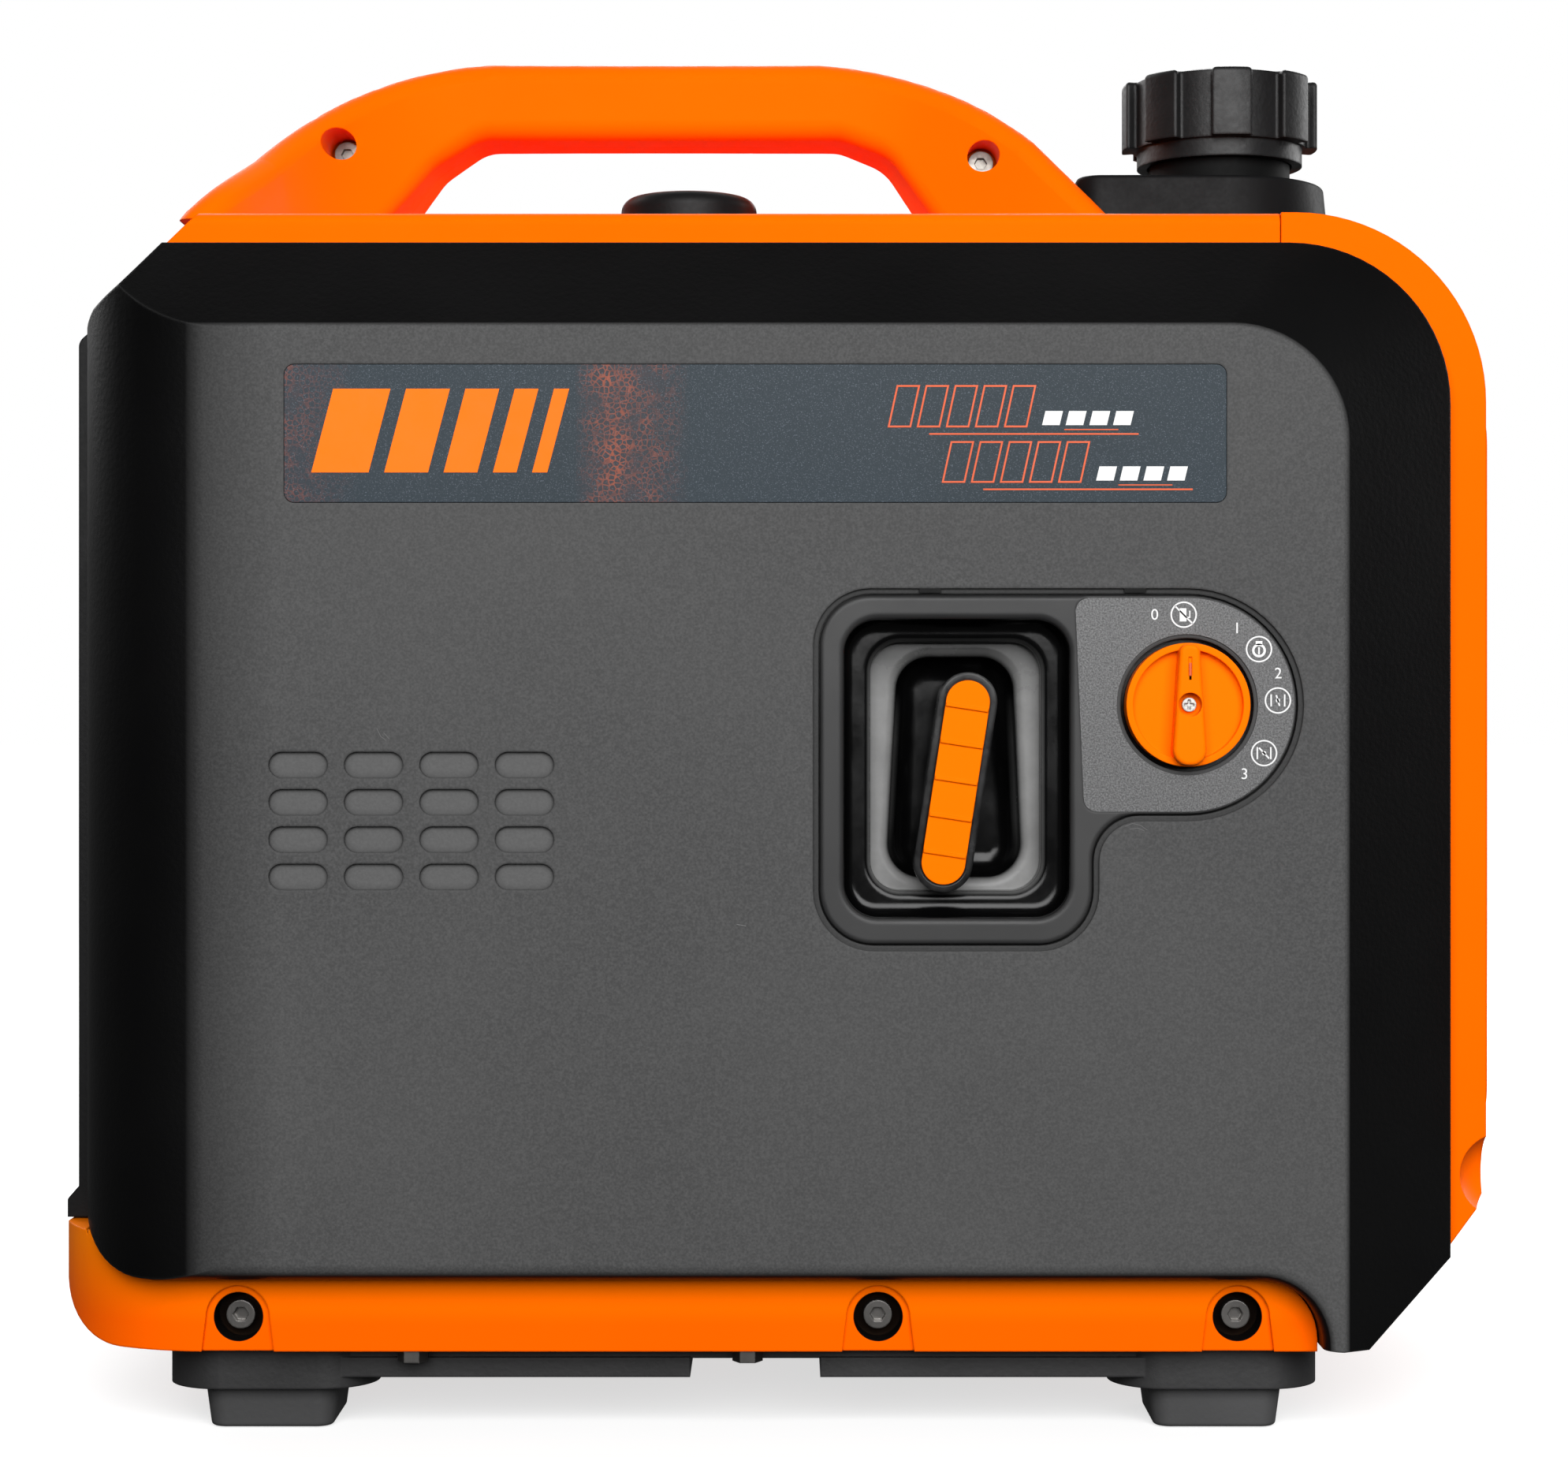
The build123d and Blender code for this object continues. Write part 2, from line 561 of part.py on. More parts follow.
def panel_screw(y, z):
    """A cross-head panel screw with its shank behind the panel."""
    head = bar_x(PANEL_X - 1.9, PANEL_X, y, z, 3.6) - cross_slot(PANEL_X - 1.9, y, z, -1)
    return head + bar_x(PANEL_X - 0.1, -206, y, z, 1.8)


def pin_slots(y, z):
    """The slots of a three-pin socket."""
    slots = box(-226, -206, y - 7.6, y - 5.4, z - 1, z + 7.4)
    slots += box(-226, -206, y + 5.4, y + 7.6, z - 2, z + 8)
    return slots + bar_x(-226, -206, y, z - 7, 2.8)


OUTLET_Y = (54.0, 14.0)
ROUND_Y = -40.0
LID_HINGE_Z = 216.5


def control_panel():
    """The panel plate and every fitting that is fixed to it."""
    plate = along_x(rounded(-80, 80, 88, 324, 10), PANEL_X, PANEL_X + 2.5)
    corners = [(y, z) for y in (-70.0, 70.0) for z in (100.0, 312.0)]
    for y, z in corners:
        plate -= bar_x(-225, -200, y, z, 1.85)
    lights = [(58.0, 300.0), (44.0, 300.0), (30.0, 300.0)]
    for y, z in lights:
        plate -= bar_x(-225, -200, y, z, 3.1)
    plate -= along_x(rounded(-56, -24, 290.4, 309.6, 2), -225, -200)
    plate -= along_x(rounded(16.5, 51.5, 243.5, 270.5, 2), -225, -200)
    plate -= bar_x(-225, -200, -4, 257, 12.2)
    for y in (-34.0, -60.0):
        plate -= bar_x(-225, -200, y, 257, 6.3)
    for y in OUTLET_Y:
        plate -= along_x(rounded(y - 15.1, y + 15.1, 177.9, 211.1, 5), -225, -200)
    plate -= bar_x(-225, -200, ROUND_Y, SOCKET_Z, 20.2)
    for y in (58.0, 30.0):
        plate -= bar_x(-225, -200, y, 132, 8.1)
    plate -= bar_x(-225, -200, -40, 132, 4.1)
    keep("control_panel", plate)
    screws = [panel_screw(y, z) for y, z in corners]
    keep("indicator_lights", *[bar_x(-219.4, -209, y, z, 3.0) for y, z in lights])

    ring = along_x(rounded(-59, -21, 287.4, 312.6, 3), -219.1, PANEL_X)
    ring += along_x(rounded(-55.9, -24.1, 290.5, 309.5, 2), PANEL_X - 0.1, -199)
    ring -= along_x(rounded(-54, -26, 292.3, 307.7, 1), -225, -200.5)
    fittings = [ring]

    usb = along_x(rounded(14, 54, 241, 273, 3), -219.1, PANEL_X)
    usb += along_x(rounded(16.6, 51.4, 243.6, 270.4, 2), PANEL_X - 0.1, -203)
    for y in (26.0, 42.0):
        usb -= box(-225, -207, y - 6.2, y + 6.2, 251.5, 256.5)
    fittings.append(usb)

    dc = bar_x(-219.6, PANEL_X, -4, 257, 14.5) + bar_x(PANEL_X - 0.1, -189, -4, 257, 12.1)
    fittings.append(dc - bar_x(-225, -192, -4, 257, 10.45))
    for y in (-34.0, -60.0):
        cup = bar_x(-219.4, PANEL_X, y, 257, 8.6) + bar_x(PANEL_X - 0.1, -200, y, 257, 6.2)
        fittings.append(cup - bar_x(-225, -202, y, 257, 5.05))
    keep("panel_fittings", *fittings)

    outlets = []
    for y in OUTLET_Y:
        outlet = along_x(rounded(y - 17, y + 17, 176, 213, 6), -219.3, PANEL_X)
        outlet += along_x(rounded(y - 15, y + 15, 178, 211, 5), PANEL_X - 0.1, -192)
        outlets.append(outlet - pin_slots(y, 194))
    body = bar_x(-219.3, PANEL_X, ROUND_Y, SOCKET_Z, 23) + bar_x(PANEL_X - 0.1, -188, ROUND_Y, SOCKET_Z, 20.1)
    groove = bar_x(-225, -216, ROUND_Y, SOCKET_Z, 18) - bar_x(-225, -216, ROUND_Y, SOCKET_Z, 15)
    body -= pin_slots(ROUND_Y, SOCKET_Z) + groove
    for y, half in ((OUTLET_Y[0], 17.5), (OUTLET_Y[1], 17.5), (ROUND_Y, 9.0)):
        for side in (-1, 1):
            edge = y + side * (half + 0.3)
            across = sorted((edge, edge + side * 1.4))
            knuckle = box(-223.6, PANEL_X, *across, LID_HINGE_Z - 2, LID_HINGE_Z + 2)
            if y == ROUND_Y:
                body += knuckle
            else:
                outlets.append(knuckle)
    keep("ac_outlets", *outlets, body)
    jacks = []
    for y in (58.0, 30.0):
        jack = bar_x(-223.5, PANEL_X, y, 132, 10.5) + bar_x(PANEL_X - 0.1, -205, y, 132, 8.0)
        jacks.append(jack - bar_x(-226, -208, y, 132, 3.2))
    keep("parallel_jacks", *jacks)
    stud = bar_x(-224.5, -203, -40, 132, 3.9) + bar_x(-219.5, PANEL_X, -40, 132, 8)
    nut = along_x(Pos(-40, 132) * RegularPolygon(6.6, 6), -223.3, -219.6)
    keep("ground_terminal", stud, nut - bar_x(-230, -200, -40, 132, 4.0))
    return screws


def hinged_lid(y, half, z0, depth):
    """A flip-up socket lid: a hinge barrel along its top edge and a shallow cap below it."""
    lid = rod(-221.8, y - half, y + half, LID_HINGE_Z, 1.9)
    cap = along_x(rounded(y - half, y + half, z0, LID_HINGE_Z - 1.9, 5), -219.7 - depth, -219.7)
    cap = soften(cap, cap.faces().sort_by(Axis.X)[0].edges(), 1.6)
    hollow = rounded(y - half + 1.6, y + half - 1.6, z0 + 1.6, LID_HINGE_Z - 3.6, 3.6)
    cap -= along_x(hollow, -218 - depth, -219)
    strap = box(-221.8, -219.9, y - half + 5, y + half - 5, LID_HINGE_Z - 3.5, LID_HINGE_Z)
    tab = box(-219.7 - depth, -220.9, y - 5, y + 5, z0 - 3, z0 + 2)
    return lid + cap + strap + tab


def panel_movers():
    """The panel's moving parts: rocker, buttons and lids."""
    front = ((-217.2, 293.6, 0), (-220.6, 293.6, 0), (-218.9, 300, 0), (-216.8, 306.4, 0))
    wedge = outline(*front, (-212, 306.2, 0), (-207, 300, 0), (-212, 293.8, 0))
    keep("eco_rocker", along_y(wedge, -53.6, -26.4) - box(-222, -219.6, -41, -39, 294, 298))
    for name, y in (("ac_breaker_button", -34.0), ("dc_breaker_button", -60.0)):
        button = bar_x(-221.4, -206, y, 257, 4.7)
        button += bar_x(-206.1, -204.9, y, 257, 5.0)
        keep(name, button)
    keep("outlet_lid_left", hinged_lid(OUTLET_Y[0], 17.5, 176.5, 2.9))
    keep("outlet_lid_right", hinged_lid(OUTLET_Y[1], 17.5, 176.5, 2.9))
    disc = bar_x(-222.7, -219.7, ROUND_Y, SOCKET_Z - 1.5, 20.5)
    disc = soften(disc, disc.faces().sort_by(Axis.X)[0].edges(), 1.2)
    strap = box(-222.5, -219.9, ROUND_Y - 9, ROUND_Y + 9, SOCKET_Z + 14, LID_HINGE_Z)
    barrel = rod(-221.8, ROUND_Y - 9, ROUND_Y + 9, LID_HINGE_Z, 1.9)
    tab = box(-222.5, -220.2, ROUND_Y - 5, ROUND_Y + 5, SOCKET_Z - 25, SOCKET_Z - 18)
    keep("round_outlet_lid", disc + strap + barrel + tab)


# ---------------------------------------------------------------- starter recess, dial and grip
def recess():
    """The hollow round the starter grip: three steps with soft edges and a deep bowl."""
    first = along_y(rounded(17.9, 84.6, 157, 245.2, 10), -150, -131.5)
    first = soften(first, first.faces().sort_by(Axis.Y)[-1].edges(), 3.5)
    rim = along_y(rounded(17.9 - 2.2, 84.6 + 2.2, 157 - 2.2, 245.2 + 2.2, 12), -150, BEZEL_Y + 0.01)
    flare = rim + along_y(rounded(17.9, 84.6, 157, 245.2, 10), BEZEL_Y - 1, -138)
    inner = [e for e in flare.edges() if abs(e.center().Y - BEZEL_Y) < 0.1 and e.bounding_box().max.X < 84.7]
    inner = [e for e in inner if e.bounding_box().min.X > 17.8 and e.bounding_box().min.Z > 156.9]
    flare = soften(flare, [e for e in inner if e.bounding_box().max.Z < 245.3], 2.0)
    second = along_y(rounded(26, 77.2, 164.2, 239, 9), -133, -123.5)
    bowl = outline((31, 168, 10), (72, 168, 10), (69, 234.5, 10), (34.5, 234.5, 10))
    third = along_y(bowl, -133, -111.5)
    third = soften(third, third.faces().sort_by(Axis.Y)[-1].edges(), 7)
    hollow = first + second
    ledge = [e for e in hollow.edges() if abs(e.center().Y + 131.5) < 0.1 and 25 < e.center().X < 78]
    ledge = [e for e in ledge if 163.5 < e.center().Z < 239.5]
    hollow = soften(hollow, ledge, 2.5) + third
    shelf = [e for e in hollow.edges() if abs(e.center().Y + 123.5) < 0.1 and 30.5 < e.center().X < 72.5]
    shelf = [e for e in shelf if 167.5 < e.center().Z < 235]
    return soften(hollow, shelf, 3.0) + flare


def starter_bezel():
    """The glossy surround of the starter grip and the dial, with a recess that steps in three times."""
    bezel = along_y(bezel_face(0), BEZEL_Y, -141.6)
    bezel = soften(bezel, bezel.faces().sort_by(Axis.Y)[0].edges(), 1.4)
    bezel += along_y(bezel_face(4), -142.4, -140.0)
    bezel += along_y(rounded(15.7, 86.8, 154.8, 247.4, 12), -141, -129)
    bezel += along_y(rounded(23.8, 79.4, 162, 241.2, 11), -130, -121)
    bezel += along_y(outline((27.5, 162.5, 8), (75.5, 162.5, 8), (72.5, 238, 8), (31, 238, 8)), -122, -109)
    bezel -= recess()
    bezel += rod(DIAL_X, -140.5, -136.6, DIAL_Z, 22)
    bezel -= rod(DIAL_X, -150, -138.6, DIAL_Z, 19.8)
    bezel -= rod(DIAL_X, -150, -130, DIAL_Z, 4.05)
    bezel -= rod(GRIP_X, -120, -105, GRIP_Z, 2.9)
    bezel -= along_y(dial_face(0.05), BEZEL_Y - 1, BEZEL_Y + 0.5)
    keep("starter_bezel", bezel)
    plate = along_y(dial_face(0), BEZEL_Y - 0.1, BEZEL_Y + 0.5)
    keep("dial_plate", plate - rod(DIAL_X, -150, -130, DIAL_Z, 20.9))


def dial_face(grow):
    """Outline of the dial plate: round to the rear, with a slanted front edge."""
    g = grow
    r = LOBE_R - 0.8 + g
    low, high, end = DIAL_Z - r, DIAL_Z + r, DIAL_X + r
    return outline((88.9 - g, low, 4), (end, low, r - 0.01), (end, high, r - 0.01), (86.2 - g, high, 4))


def dial_knob():
    """The fuel and choke dial: a dished disc with a tapered bar across it, on the stem of the fuel tap."""
    knob = rod(DIAL_X, -147.4, -139.4, DIAL_Z, 18.3)
    knob -= rod(DIAL_X, -150, -144.6, DIAL_Z, 16.3)
    bar = outline(
        (DIAL_X - 5.2, DIAL_Z - 17.9, 4.5),
        (DIAL_X + 5.2, DIAL_Z - 17.9, 4.5),
        (DIAL_X + 2.9, DIAL_Z + 17.9, 2.6),
        (DIAL_X - 2.9, DIAL_Z + 17.9, 2.6),
    )
    grip = along_y(bar, -151.8, -140)
    grip = soften(grip, grip.faces().sort_by(Axis.Y)[0].edges(), 1.2)
    knob += grip
    knob -= rod(DIAL_X, -160, -147.5, DIAL_Z, 3.5)
    knob -= box(DIAL_X - 0.5, DIAL_X + 0.5, -155, -151.3, DIAL_Z + 8.5, DIAL_Z + 14)
    knob += rod(DIAL_X, -139.5, -126, DIAL_Z, 4.0)
    knob -= rod(DIAL_X, -150, -132, DIAL_Z, 1.5)
    keep("dial_knob", knob)
    screw = rod(DIAL_X, -149.2, -147.5, DIAL_Z, 2.1) + rod(DIAL_X, -147.6, -132.5, DIAL_Z, 1.5)
    slot = Pos(DIAL_X, -148.8, DIAL_Z)
    keep("dial_screw", screw - slot * Box(2.9, 1, 0.7) - slot * Box(0.7, 1, 2.9))
    tap = rod(DIAL_X, -136.5, -112, DIAL_Z, 13) + rod(DIAL_X, -118, -114, DIAL_Z, 15)
    tap += post(DIAL_X, -122, DIAL_Z + 10, DIAL_Z + 24, 3.6)
    tap -= rod(DIAL_X, -140, -125, DIAL_Z, 4.05)
    keep("fuel_tap", tap)


GRIP_TILT = 8.7


def grip_place():
    """Frame of the starter grip, tilted with its top towards the rear."""
    return Pos(GRIP_X, 0, GRIP_Z) * Rot(0, GRIP_TILT, 0) * Pos(-GRIP_X, 0, -GRIP_Z)


def grip_bar(width, height, y0, y1):
    """A bar with round ends along the length of the starter grip."""
    u, v = width / 2, height / 2
    face = rounded(GRIP_X - u, GRIP_X + u, GRIP_Z - v, GRIP_Z + v, u - 0.01)
    return grip_place() * along_y(face, y0, y1)


def starter_grip():
    """The pull grip: a black bar with a bright ribbed insert, and the starter rope it hangs on."""
    body = grip_bar(17.5, 66, -141.6, -126.5)
    body = soften(body, body.faces().sort_by(Axis.Y)[-1].edges(), 4.5)
    body += rod(GRIP_X, -127.5, -114.3, GRIP_Z, 6.0)
    body -= grip_bar(13.2, 61.4, -145, -139.4)
    body -= rod(GRIP_X, -135, -100, GRIP_Z, 2.6)
    keep("starter_grip", body)
    insert = grip_bar(13.0, 61.2, -142.6, -139.5)
    for i in range(5):
        rib = box(GRIP_X - 6.3, GRIP_X + 6.3, -143.2, -142, GRIP_Z - 22 + i * 11, GRIP_Z - 21 + i * 11)
        insert += grip_place() * rib
    keep("grip_insert", insert)
    turn_start = (GRIP_X - 8, -98, GRIP_Z)
    turn_middle = (GRIP_X - 8 + 8 * sin(pi / 4), -106 + 8 * cos(pi / 4), GRIP_Z)
    turn_end = (GRIP_X, -106, GRIP_Z)
    first_run = Edge.make_line((CRANK_X + 1, -98, GRIP_Z), turn_start)
    turn = Edge.make_three_point_arc(turn_start, turn_middle, turn_end)
    last_run = Edge.make_line(turn_end, (GRIP_X, -132, GRIP_Z))
    path = Wire([first_run, turn, last_run])
    start = Plane(origin=(CRANK_X + 1, -98, GRIP_Z), z_dir=(1, 0, 0))
    keep("starter_rope", sweep(start * Circle(2.2), path=path))


# ---------------------------------------------------------------- recoil starter and fan
def recoil_starter():
    """Recoil housing, rope pulley and the blower housing behind them."""
    rope_r = GRIP_Z - CRANK_Z
    housing = rod(CRANK_X, -108, -84, CRANK_Z, 56) - rod(CRANK_X, -105.5, -80, CRANK_Z, 53)
    housing += rod(CRANK_X, -106, -91.5, CRANK_Z, 7)
    for i in range(10):
        arm = Pos(CRANK_X, 0, CRANK_Z) * Rot(0, i * 36 + 18, 0) * Pos(-CRANK_X, 0, -CRANK_Z)
        housing -= arm * along_y(rounded(CRANK_X - 5, CRANK_X + 5, CRANK_Z + 20, CRANK_Z + 40, 3), -112, -104)
    housing -= box(CRANK_X, 90, -103.5, -92.5, GRIP_Z - 5, GRIP_Z + 4)
    housing -= box(GRIP_X - 16, GRIP_X + 10, -112, -92.5, GRIP_Z - 6, GRIP_Z + 10)
    groove = rod(CRANK_X, -101, -95, CRANK_Z, 60) - rod(CRANK_X, -101, -95, CRANK_Z, rope_r - 2.4)
    pulley = rod(CRANK_X, -104, -92, CRANK_Z, rope_r + 4.5) - groove
    pulley -= rod(CRANK_X, -110, -80, CRANK_Z, 7.05)
    for i in range(6):
        arm = Pos(CRANK_X, 0, CRANK_Z) * Rot(0, i * 60, 0) * Pos(-CRANK_X, 0, -CRANK_Z)
        pulley -= arm * rod(CRANK_X, -110, -80, CRANK_Z + 25, 8)
    keep("recoil_pulley", pulley)
    blower = rod(CRANK_X, -83.8, -62, CRANK_Z, 74) - rod(CRANK_X, -81, -60, CRANK_Z, 71)
    blower += box(CRANK_X - 74, CRANK_X + 20, -83.8, -62, CRANK_Z + 30, CRANK_Z + 92)
    blower -= box(CRANK_X - 71, CRANK_X + 17, -81, -60, CRANK_Z + 30, CRANK_Z + 95)
    blower -= rod(CRANK_X, -81, -60, CRANK_Z, 71) + rod(CRANK_X, -90, -70, CRANK_Z, 44)
    keep("recoil_housing", housing, blower)


def flywheel():
    """Flywheel fan with curved vanes and the starter cup on its face."""
    wheel = rod(CRANK_X, -72, -64, CRANK_Z, 60) + rod(CRANK_X, -88, -71, CRANK_Z, 22)
    wheel -= rod(CRANK_X, -89, -80, CRANK_Z, 18)
    for i in range(16):
        turn = Pos(CRANK_X, 0, CRANK_Z) * Rot(0, i * 22.5, 0)
        wheel += turn * Pos(46, -75.5, 0) * Rot(0, 28, 0) * Box(26, 9, 2.2)
    keep("flywheel", wheel - rod(CRANK_X, -100, -60, CRANK_Z, 10))


# ---------------------------------------------------------------- engine
def tilted(shape):
    """Places a shape drawn upright over the origin on the cylinder axis, which starts at the crankshaft."""
    return Pos(CRANK_X, -31, CRANK_Z) * Rot(0, -CYLINDER_TILT, 0) * shape


def engine():
    """Crankcase, finned cylinder, head, valve cover and spark plug."""
    case = rod(CRANK_X, -60, -2, CRANK_Z, 54) + box(-34, 74, -60, -2, 60, 130)
    case += box(-42, 82, -60, -2, 51.1, 62)
    case += tilted(Pos(0, 0, 52) * Box(76, 58, 16))
    case -= rod(CRANK_X, -53, -9, CRANK_Z, 44) + box(-24, 64, -53, -9, 74, 130)
    case -= rod(CRANK_X, -70, 10, CRANK_Z, 16)
    case -= tilted(Pos(0, 0, 55) * Cylinder(24.05, 30))
    case += rod(-26, -2.1, 98, 84, 10)
    case -= rod(-26, -8, 100, 84, 7.5)
    bearings = []
    for y0, y1 in ((-60, -53.2), (-8.8, -2)):
        ring = rod(CRANK_X, y0, y1, CRANK_Z, 16) - rod(CRANK_X, y0 - 1, y1 + 1, CRANK_Z, 10.05)
        bearings.append(ring)
    keep("crankcase", case, *bearings)
    block = tilted(Pos(0, 0, 85) * Cylinder(28.5, 49.8))
    for i in range(6):
        block += tilted(Pos(0, 0, 66 + i * 7.4) * extrude(RectangleRounded(76, 58, 12), amount=2.4))
    block -= tilted(Pos(0, 0, 85) * Cylinder(24.05, 60))
    keep("cylinder_block", block)
    head = tilted(Pos(0, 0, 110.1) * extrude(RectangleRounded(76, 58, 12), amount=6))
    head += tilted(Pos(0, 0, 116) * extrude(RectangleRounded(56, 50, 10), amount=16))
    for i in range(3):
        head += tilted(Pos(0, 0, 118 + i * 5.2) * extrude(RectangleRounded(76, 58, 12), amount=2))
    head += tilted(Pos(0, 0, 130.5) * extrude(RectangleRounded(62, 52, 8), amount=4.5))
    head += tilted(Pos(0, 30, 121) * Box(30, 20, 20)) + tilted(Pos(38, 0, 121) * Box(16, 26, 22))
    head -= tilted(Pos(0, 25, 121) * Rot(90, 0, 0) * Cylinder(8, 40))
    head -= tilted(Pos(34, 0, 121) * Rot(0, 90, 0) * Cylinder(9, 40))
    head -= plug_axis(6.1, 0, 30) + plug_axis(10.5, 16, 60)
    cover = tilted(Pos(0, 0, 135.1) * extrude(RectangleRounded(62, 52, 8), amount=16))
    cover = soften(cover, cover.faces().sort_by(Axis.Z)[-1].edges(), 5)
    keep("cylinder_head", head, cover - plug_axis(14, 10, 90))
    plug = plug_axis(6.0, 4, 18) + plug_axis(8.5, 17.5, 27) + plug_axis(5, 26, 48) + plug_axis(2.5, 47, 53)
    boot = plug_axis(9, 34, 66) - plug_axis(5.2, 30, 48.5) - plug_axis(2.6, 45, 54)
    keep("spark_plug", plug, boot)
    piston = tilted(Pos(0, 0, 92) * Cylinder(24.0, 28)) - tilted(Pos(0, 0, 88) * Cylinder(20, 28))
    for i in range(3):
        piston -= tilted(Pos(0, 0, 97 + i * 3.4) * (Cylinder(30, 1) - Cylinder(23.2, 1)))
    piston += tilted(Pos(0, 0, 86) * Rot(90, 0, 0) * Cylinder(5, 40.5))
    keep("piston", piston)


def plug_axis(radius, start, end):
    """A round bar on the spark plug's axis, between two distances from its tip."""
    tip, aim = Vector(-22, -42, 258), Vector(-8.6, -17, 64).normalized()
    plane = Plane(origin=tip + aim * start, z_dir=aim)
    return extrude(plane * Circle(radius), amount=end - start, dir=aim)


def crank_and_alternator():
    """Crankshaft with its two webs, bearings, and the alternator's rotor, stator and housing."""
    shaft = rod(CRANK_X, -88, 60, CRANK_Z, 10) + rod(CRANK_X, -48, -14, CRANK_Z, 12)
    for y0, y1 in ((-47, -39), (-23, -15)):
        web = rod(CRANK_X, y0, y1, CRANK_Z, 38) & box(-40, 80, -60, 0, CRANK_Z - 38, CRANK_Z + 18)
        shaft += web
    keep("crankshaft", shaft)
    ring = rod(CRANK_X, 53, 60, CRANK_Z, 16) - rod(CRANK_X, 50, 62, CRANK_Z, 10.05)
    rotor = rod(CRANK_X, 14, 48, CRANK_Z, 37) - rod(CRANK_X, 10, 50, CRANK_Z, 10)
    for i in range(8):
        turn = Pos(CRANK_X, 0, CRANK_Z) * Rot(0, i * 45, 0) * Pos(-CRANK_X, 0, -CRANK_Z)
        rotor -= turn * box(CRANK_X - 3, CRANK_X + 3, 10, 50, CRANK_Z + 31, CRANK_Z + 40)
    keep("alternator_rotor", rotor)
    stator = rod(CRANK_X, 16, 46, CRANK_Z, 57) - rod(CRANK_X, 10, 50, CRANK_Z, 38)
    for i in range(18):
        turn = Pos(CRANK_X, 0, CRANK_Z) * Rot(0, i * 20, 0) * Pos(-CRANK_X, 0, -CRANK_Z)
        stator -= turn * box(CRANK_X - 3, CRANK_X + 3, 10, 50, CRANK_Z + 36, CRANK_Z + 50)
    keep("alternator_stator", stator)
    drum = rod(CRANK_X, -1.9, 60, CRANK_Z, 61) - rod(CRANK_X, -5, 56.5, CRANK_Z, 57.1)
    drum -= rod(CRANK_X, 50, 65, CRANK_Z, 16)
    for i in range(8):
        turn = Pos(CRANK_X, 0, CRANK_Z) * Rot(0, i * 45 + 22.5, 0) * Pos(-CRANK_X, 0, -CRANK_Z)
        drum -= turn * along_y(rounded(CRANK_X - 7, CRANK_X + 7, CRANK_Z + 24, CRANK_Z + 48, 5), 50, 65)
    drum += box(CRANK_X - 50, CRANK_X + 50, 6, 30, 51.1, 62) + box(CRANK_X - 32, CRANK_X + 40, 8, 28, 61, 108)
    drum -= rod(CRANK_X, -5, 56.5, CRANK_Z, 57.1)
    keep("alternator_housing", drum, ring)


def fuel_and_air():
    """Fuel tank with its neck and strainer, carburettor with choke plate, and air cleaner."""
    tank = box(14, 192, -98, 98, 304, 356) + box(64, 192, -98, 98, 254, 310)
    tank = soften(tank, tank.edges().filter_by(Axis.Y), 12)
    tank = soften(tank, tank.edges().filter_by(lambda e: abs(abs(e.center().Y) - 98) < 0.1), 8)
    hollow = box(17, 189, -95, 95, 307, 353) + box(67, 189, -95, 95, 257, 310)
    hollow = soften(hollow, hollow.edges().filter_by(Axis.Y), 9)
    tank += post(FILLER_X, 0, 350, 409.5, 23.8)
    tank += box(100, 128, -102, -96, 268, 284) + rod(119.5, -108, -98, 276, 3.6)
    keep("fuel_tank", tank - hollow - post(FILLER_X, 0, 340, 415, 20.3))
    x, z = 20 - 121 * sin(radians(20)), 152 + 121 * cos(radians(20))
    carb = box(x - 17, x + 17, 10, 42, z - 18, z + 18) + rod(x, 9.3, 60, z, 16)
    carb += post(x, 26, z - 40, z - 17, 15)
    carb -= rod(x, 5, 65, z, 11)
    carb -= post(x, 48, z - 30, z + 30, 2.05)
    keep("carburettor", carb)
    plate = rod(x, 47.2, 48.8, z, 10.4) + post(x, 48, z - 21, z + 24, 2.0)
    plate += box(x - 16, x + 3, 45, 51, z + 20, z + 22.5)
    plate = Pos(x, 48, 0) * Rot(0, 0, 90) * Pos(-x, -48, 0) * plate
    keep("choke_plate", plate)
    cleaner = box(-72, 4, 62, 122, 216, 288)
    cleaner = soften(cleaner, cleaner.edges().filter_by(Axis.Y), 9)
    lid_gap = box(-80, 10, 108, 109, 210, 295) - box(-70, 2, 100, 115, 218, 286)
    cleaner = cleaner - lid_gap - box(-69, 1, 65, 119, 219, 285) - rod(x, 55, 66, z, 11)
    keep("air_cleaner", cleaner)


def exhaust():
    """Muffler with its outlet, and the header pipe that feeds it."""
    muffler = box(122, 194, -62, 74, 92, 228)
    muffler = soften(muffler, muffler.edges().filter_by(Axis.Y), 22)
    muffler = soften(muffler, muffler.edges().filter_by(lambda e: abs(abs(e.center().Y - 6) - 68) < 0.1), 5)
    muffler += bar_x(180, REAR_X - 1.5, PORT_Y, PORT_Z, PORT_R + 3)
    cavity = box(125, 191, -59, 71, 95, 225)
    cavity = soften(cavity, cavity.edges().filter_by(Axis.Y), 19)
    muffler = muffler - cavity - bar_x(180, 240, PORT_Y, PORT_Z, PORT_R)
    muffler -= bar_x(110, 130, -31, 200, 9)
    lean = radians(CYLINDER_TILT)
    plug_x = CRANK_X - 121 * sin(lean) + 46.2 * cos(lean)
    plug_z = CRANK_Z + 121 * cos(lean) + 46.2 * sin(lean)
    origin = Vector(plug_x, -31, plug_z)
    aim = Vector(cos(lean), 0, sin(lean))
    bend = Edge.make_bezier(tuple(origin), tuple(origin + aim * 24), (54, -31, 200), (121.8, -31, 200))
    mouth = Plane(origin=origin, z_dir=aim)
    tube = sweep(mouth * Circle(8.5), path=Wire([bend])) - sweep(mouth * Circle(6.8), path=Wire([bend]))
    keep("muffler", muffler, tube)


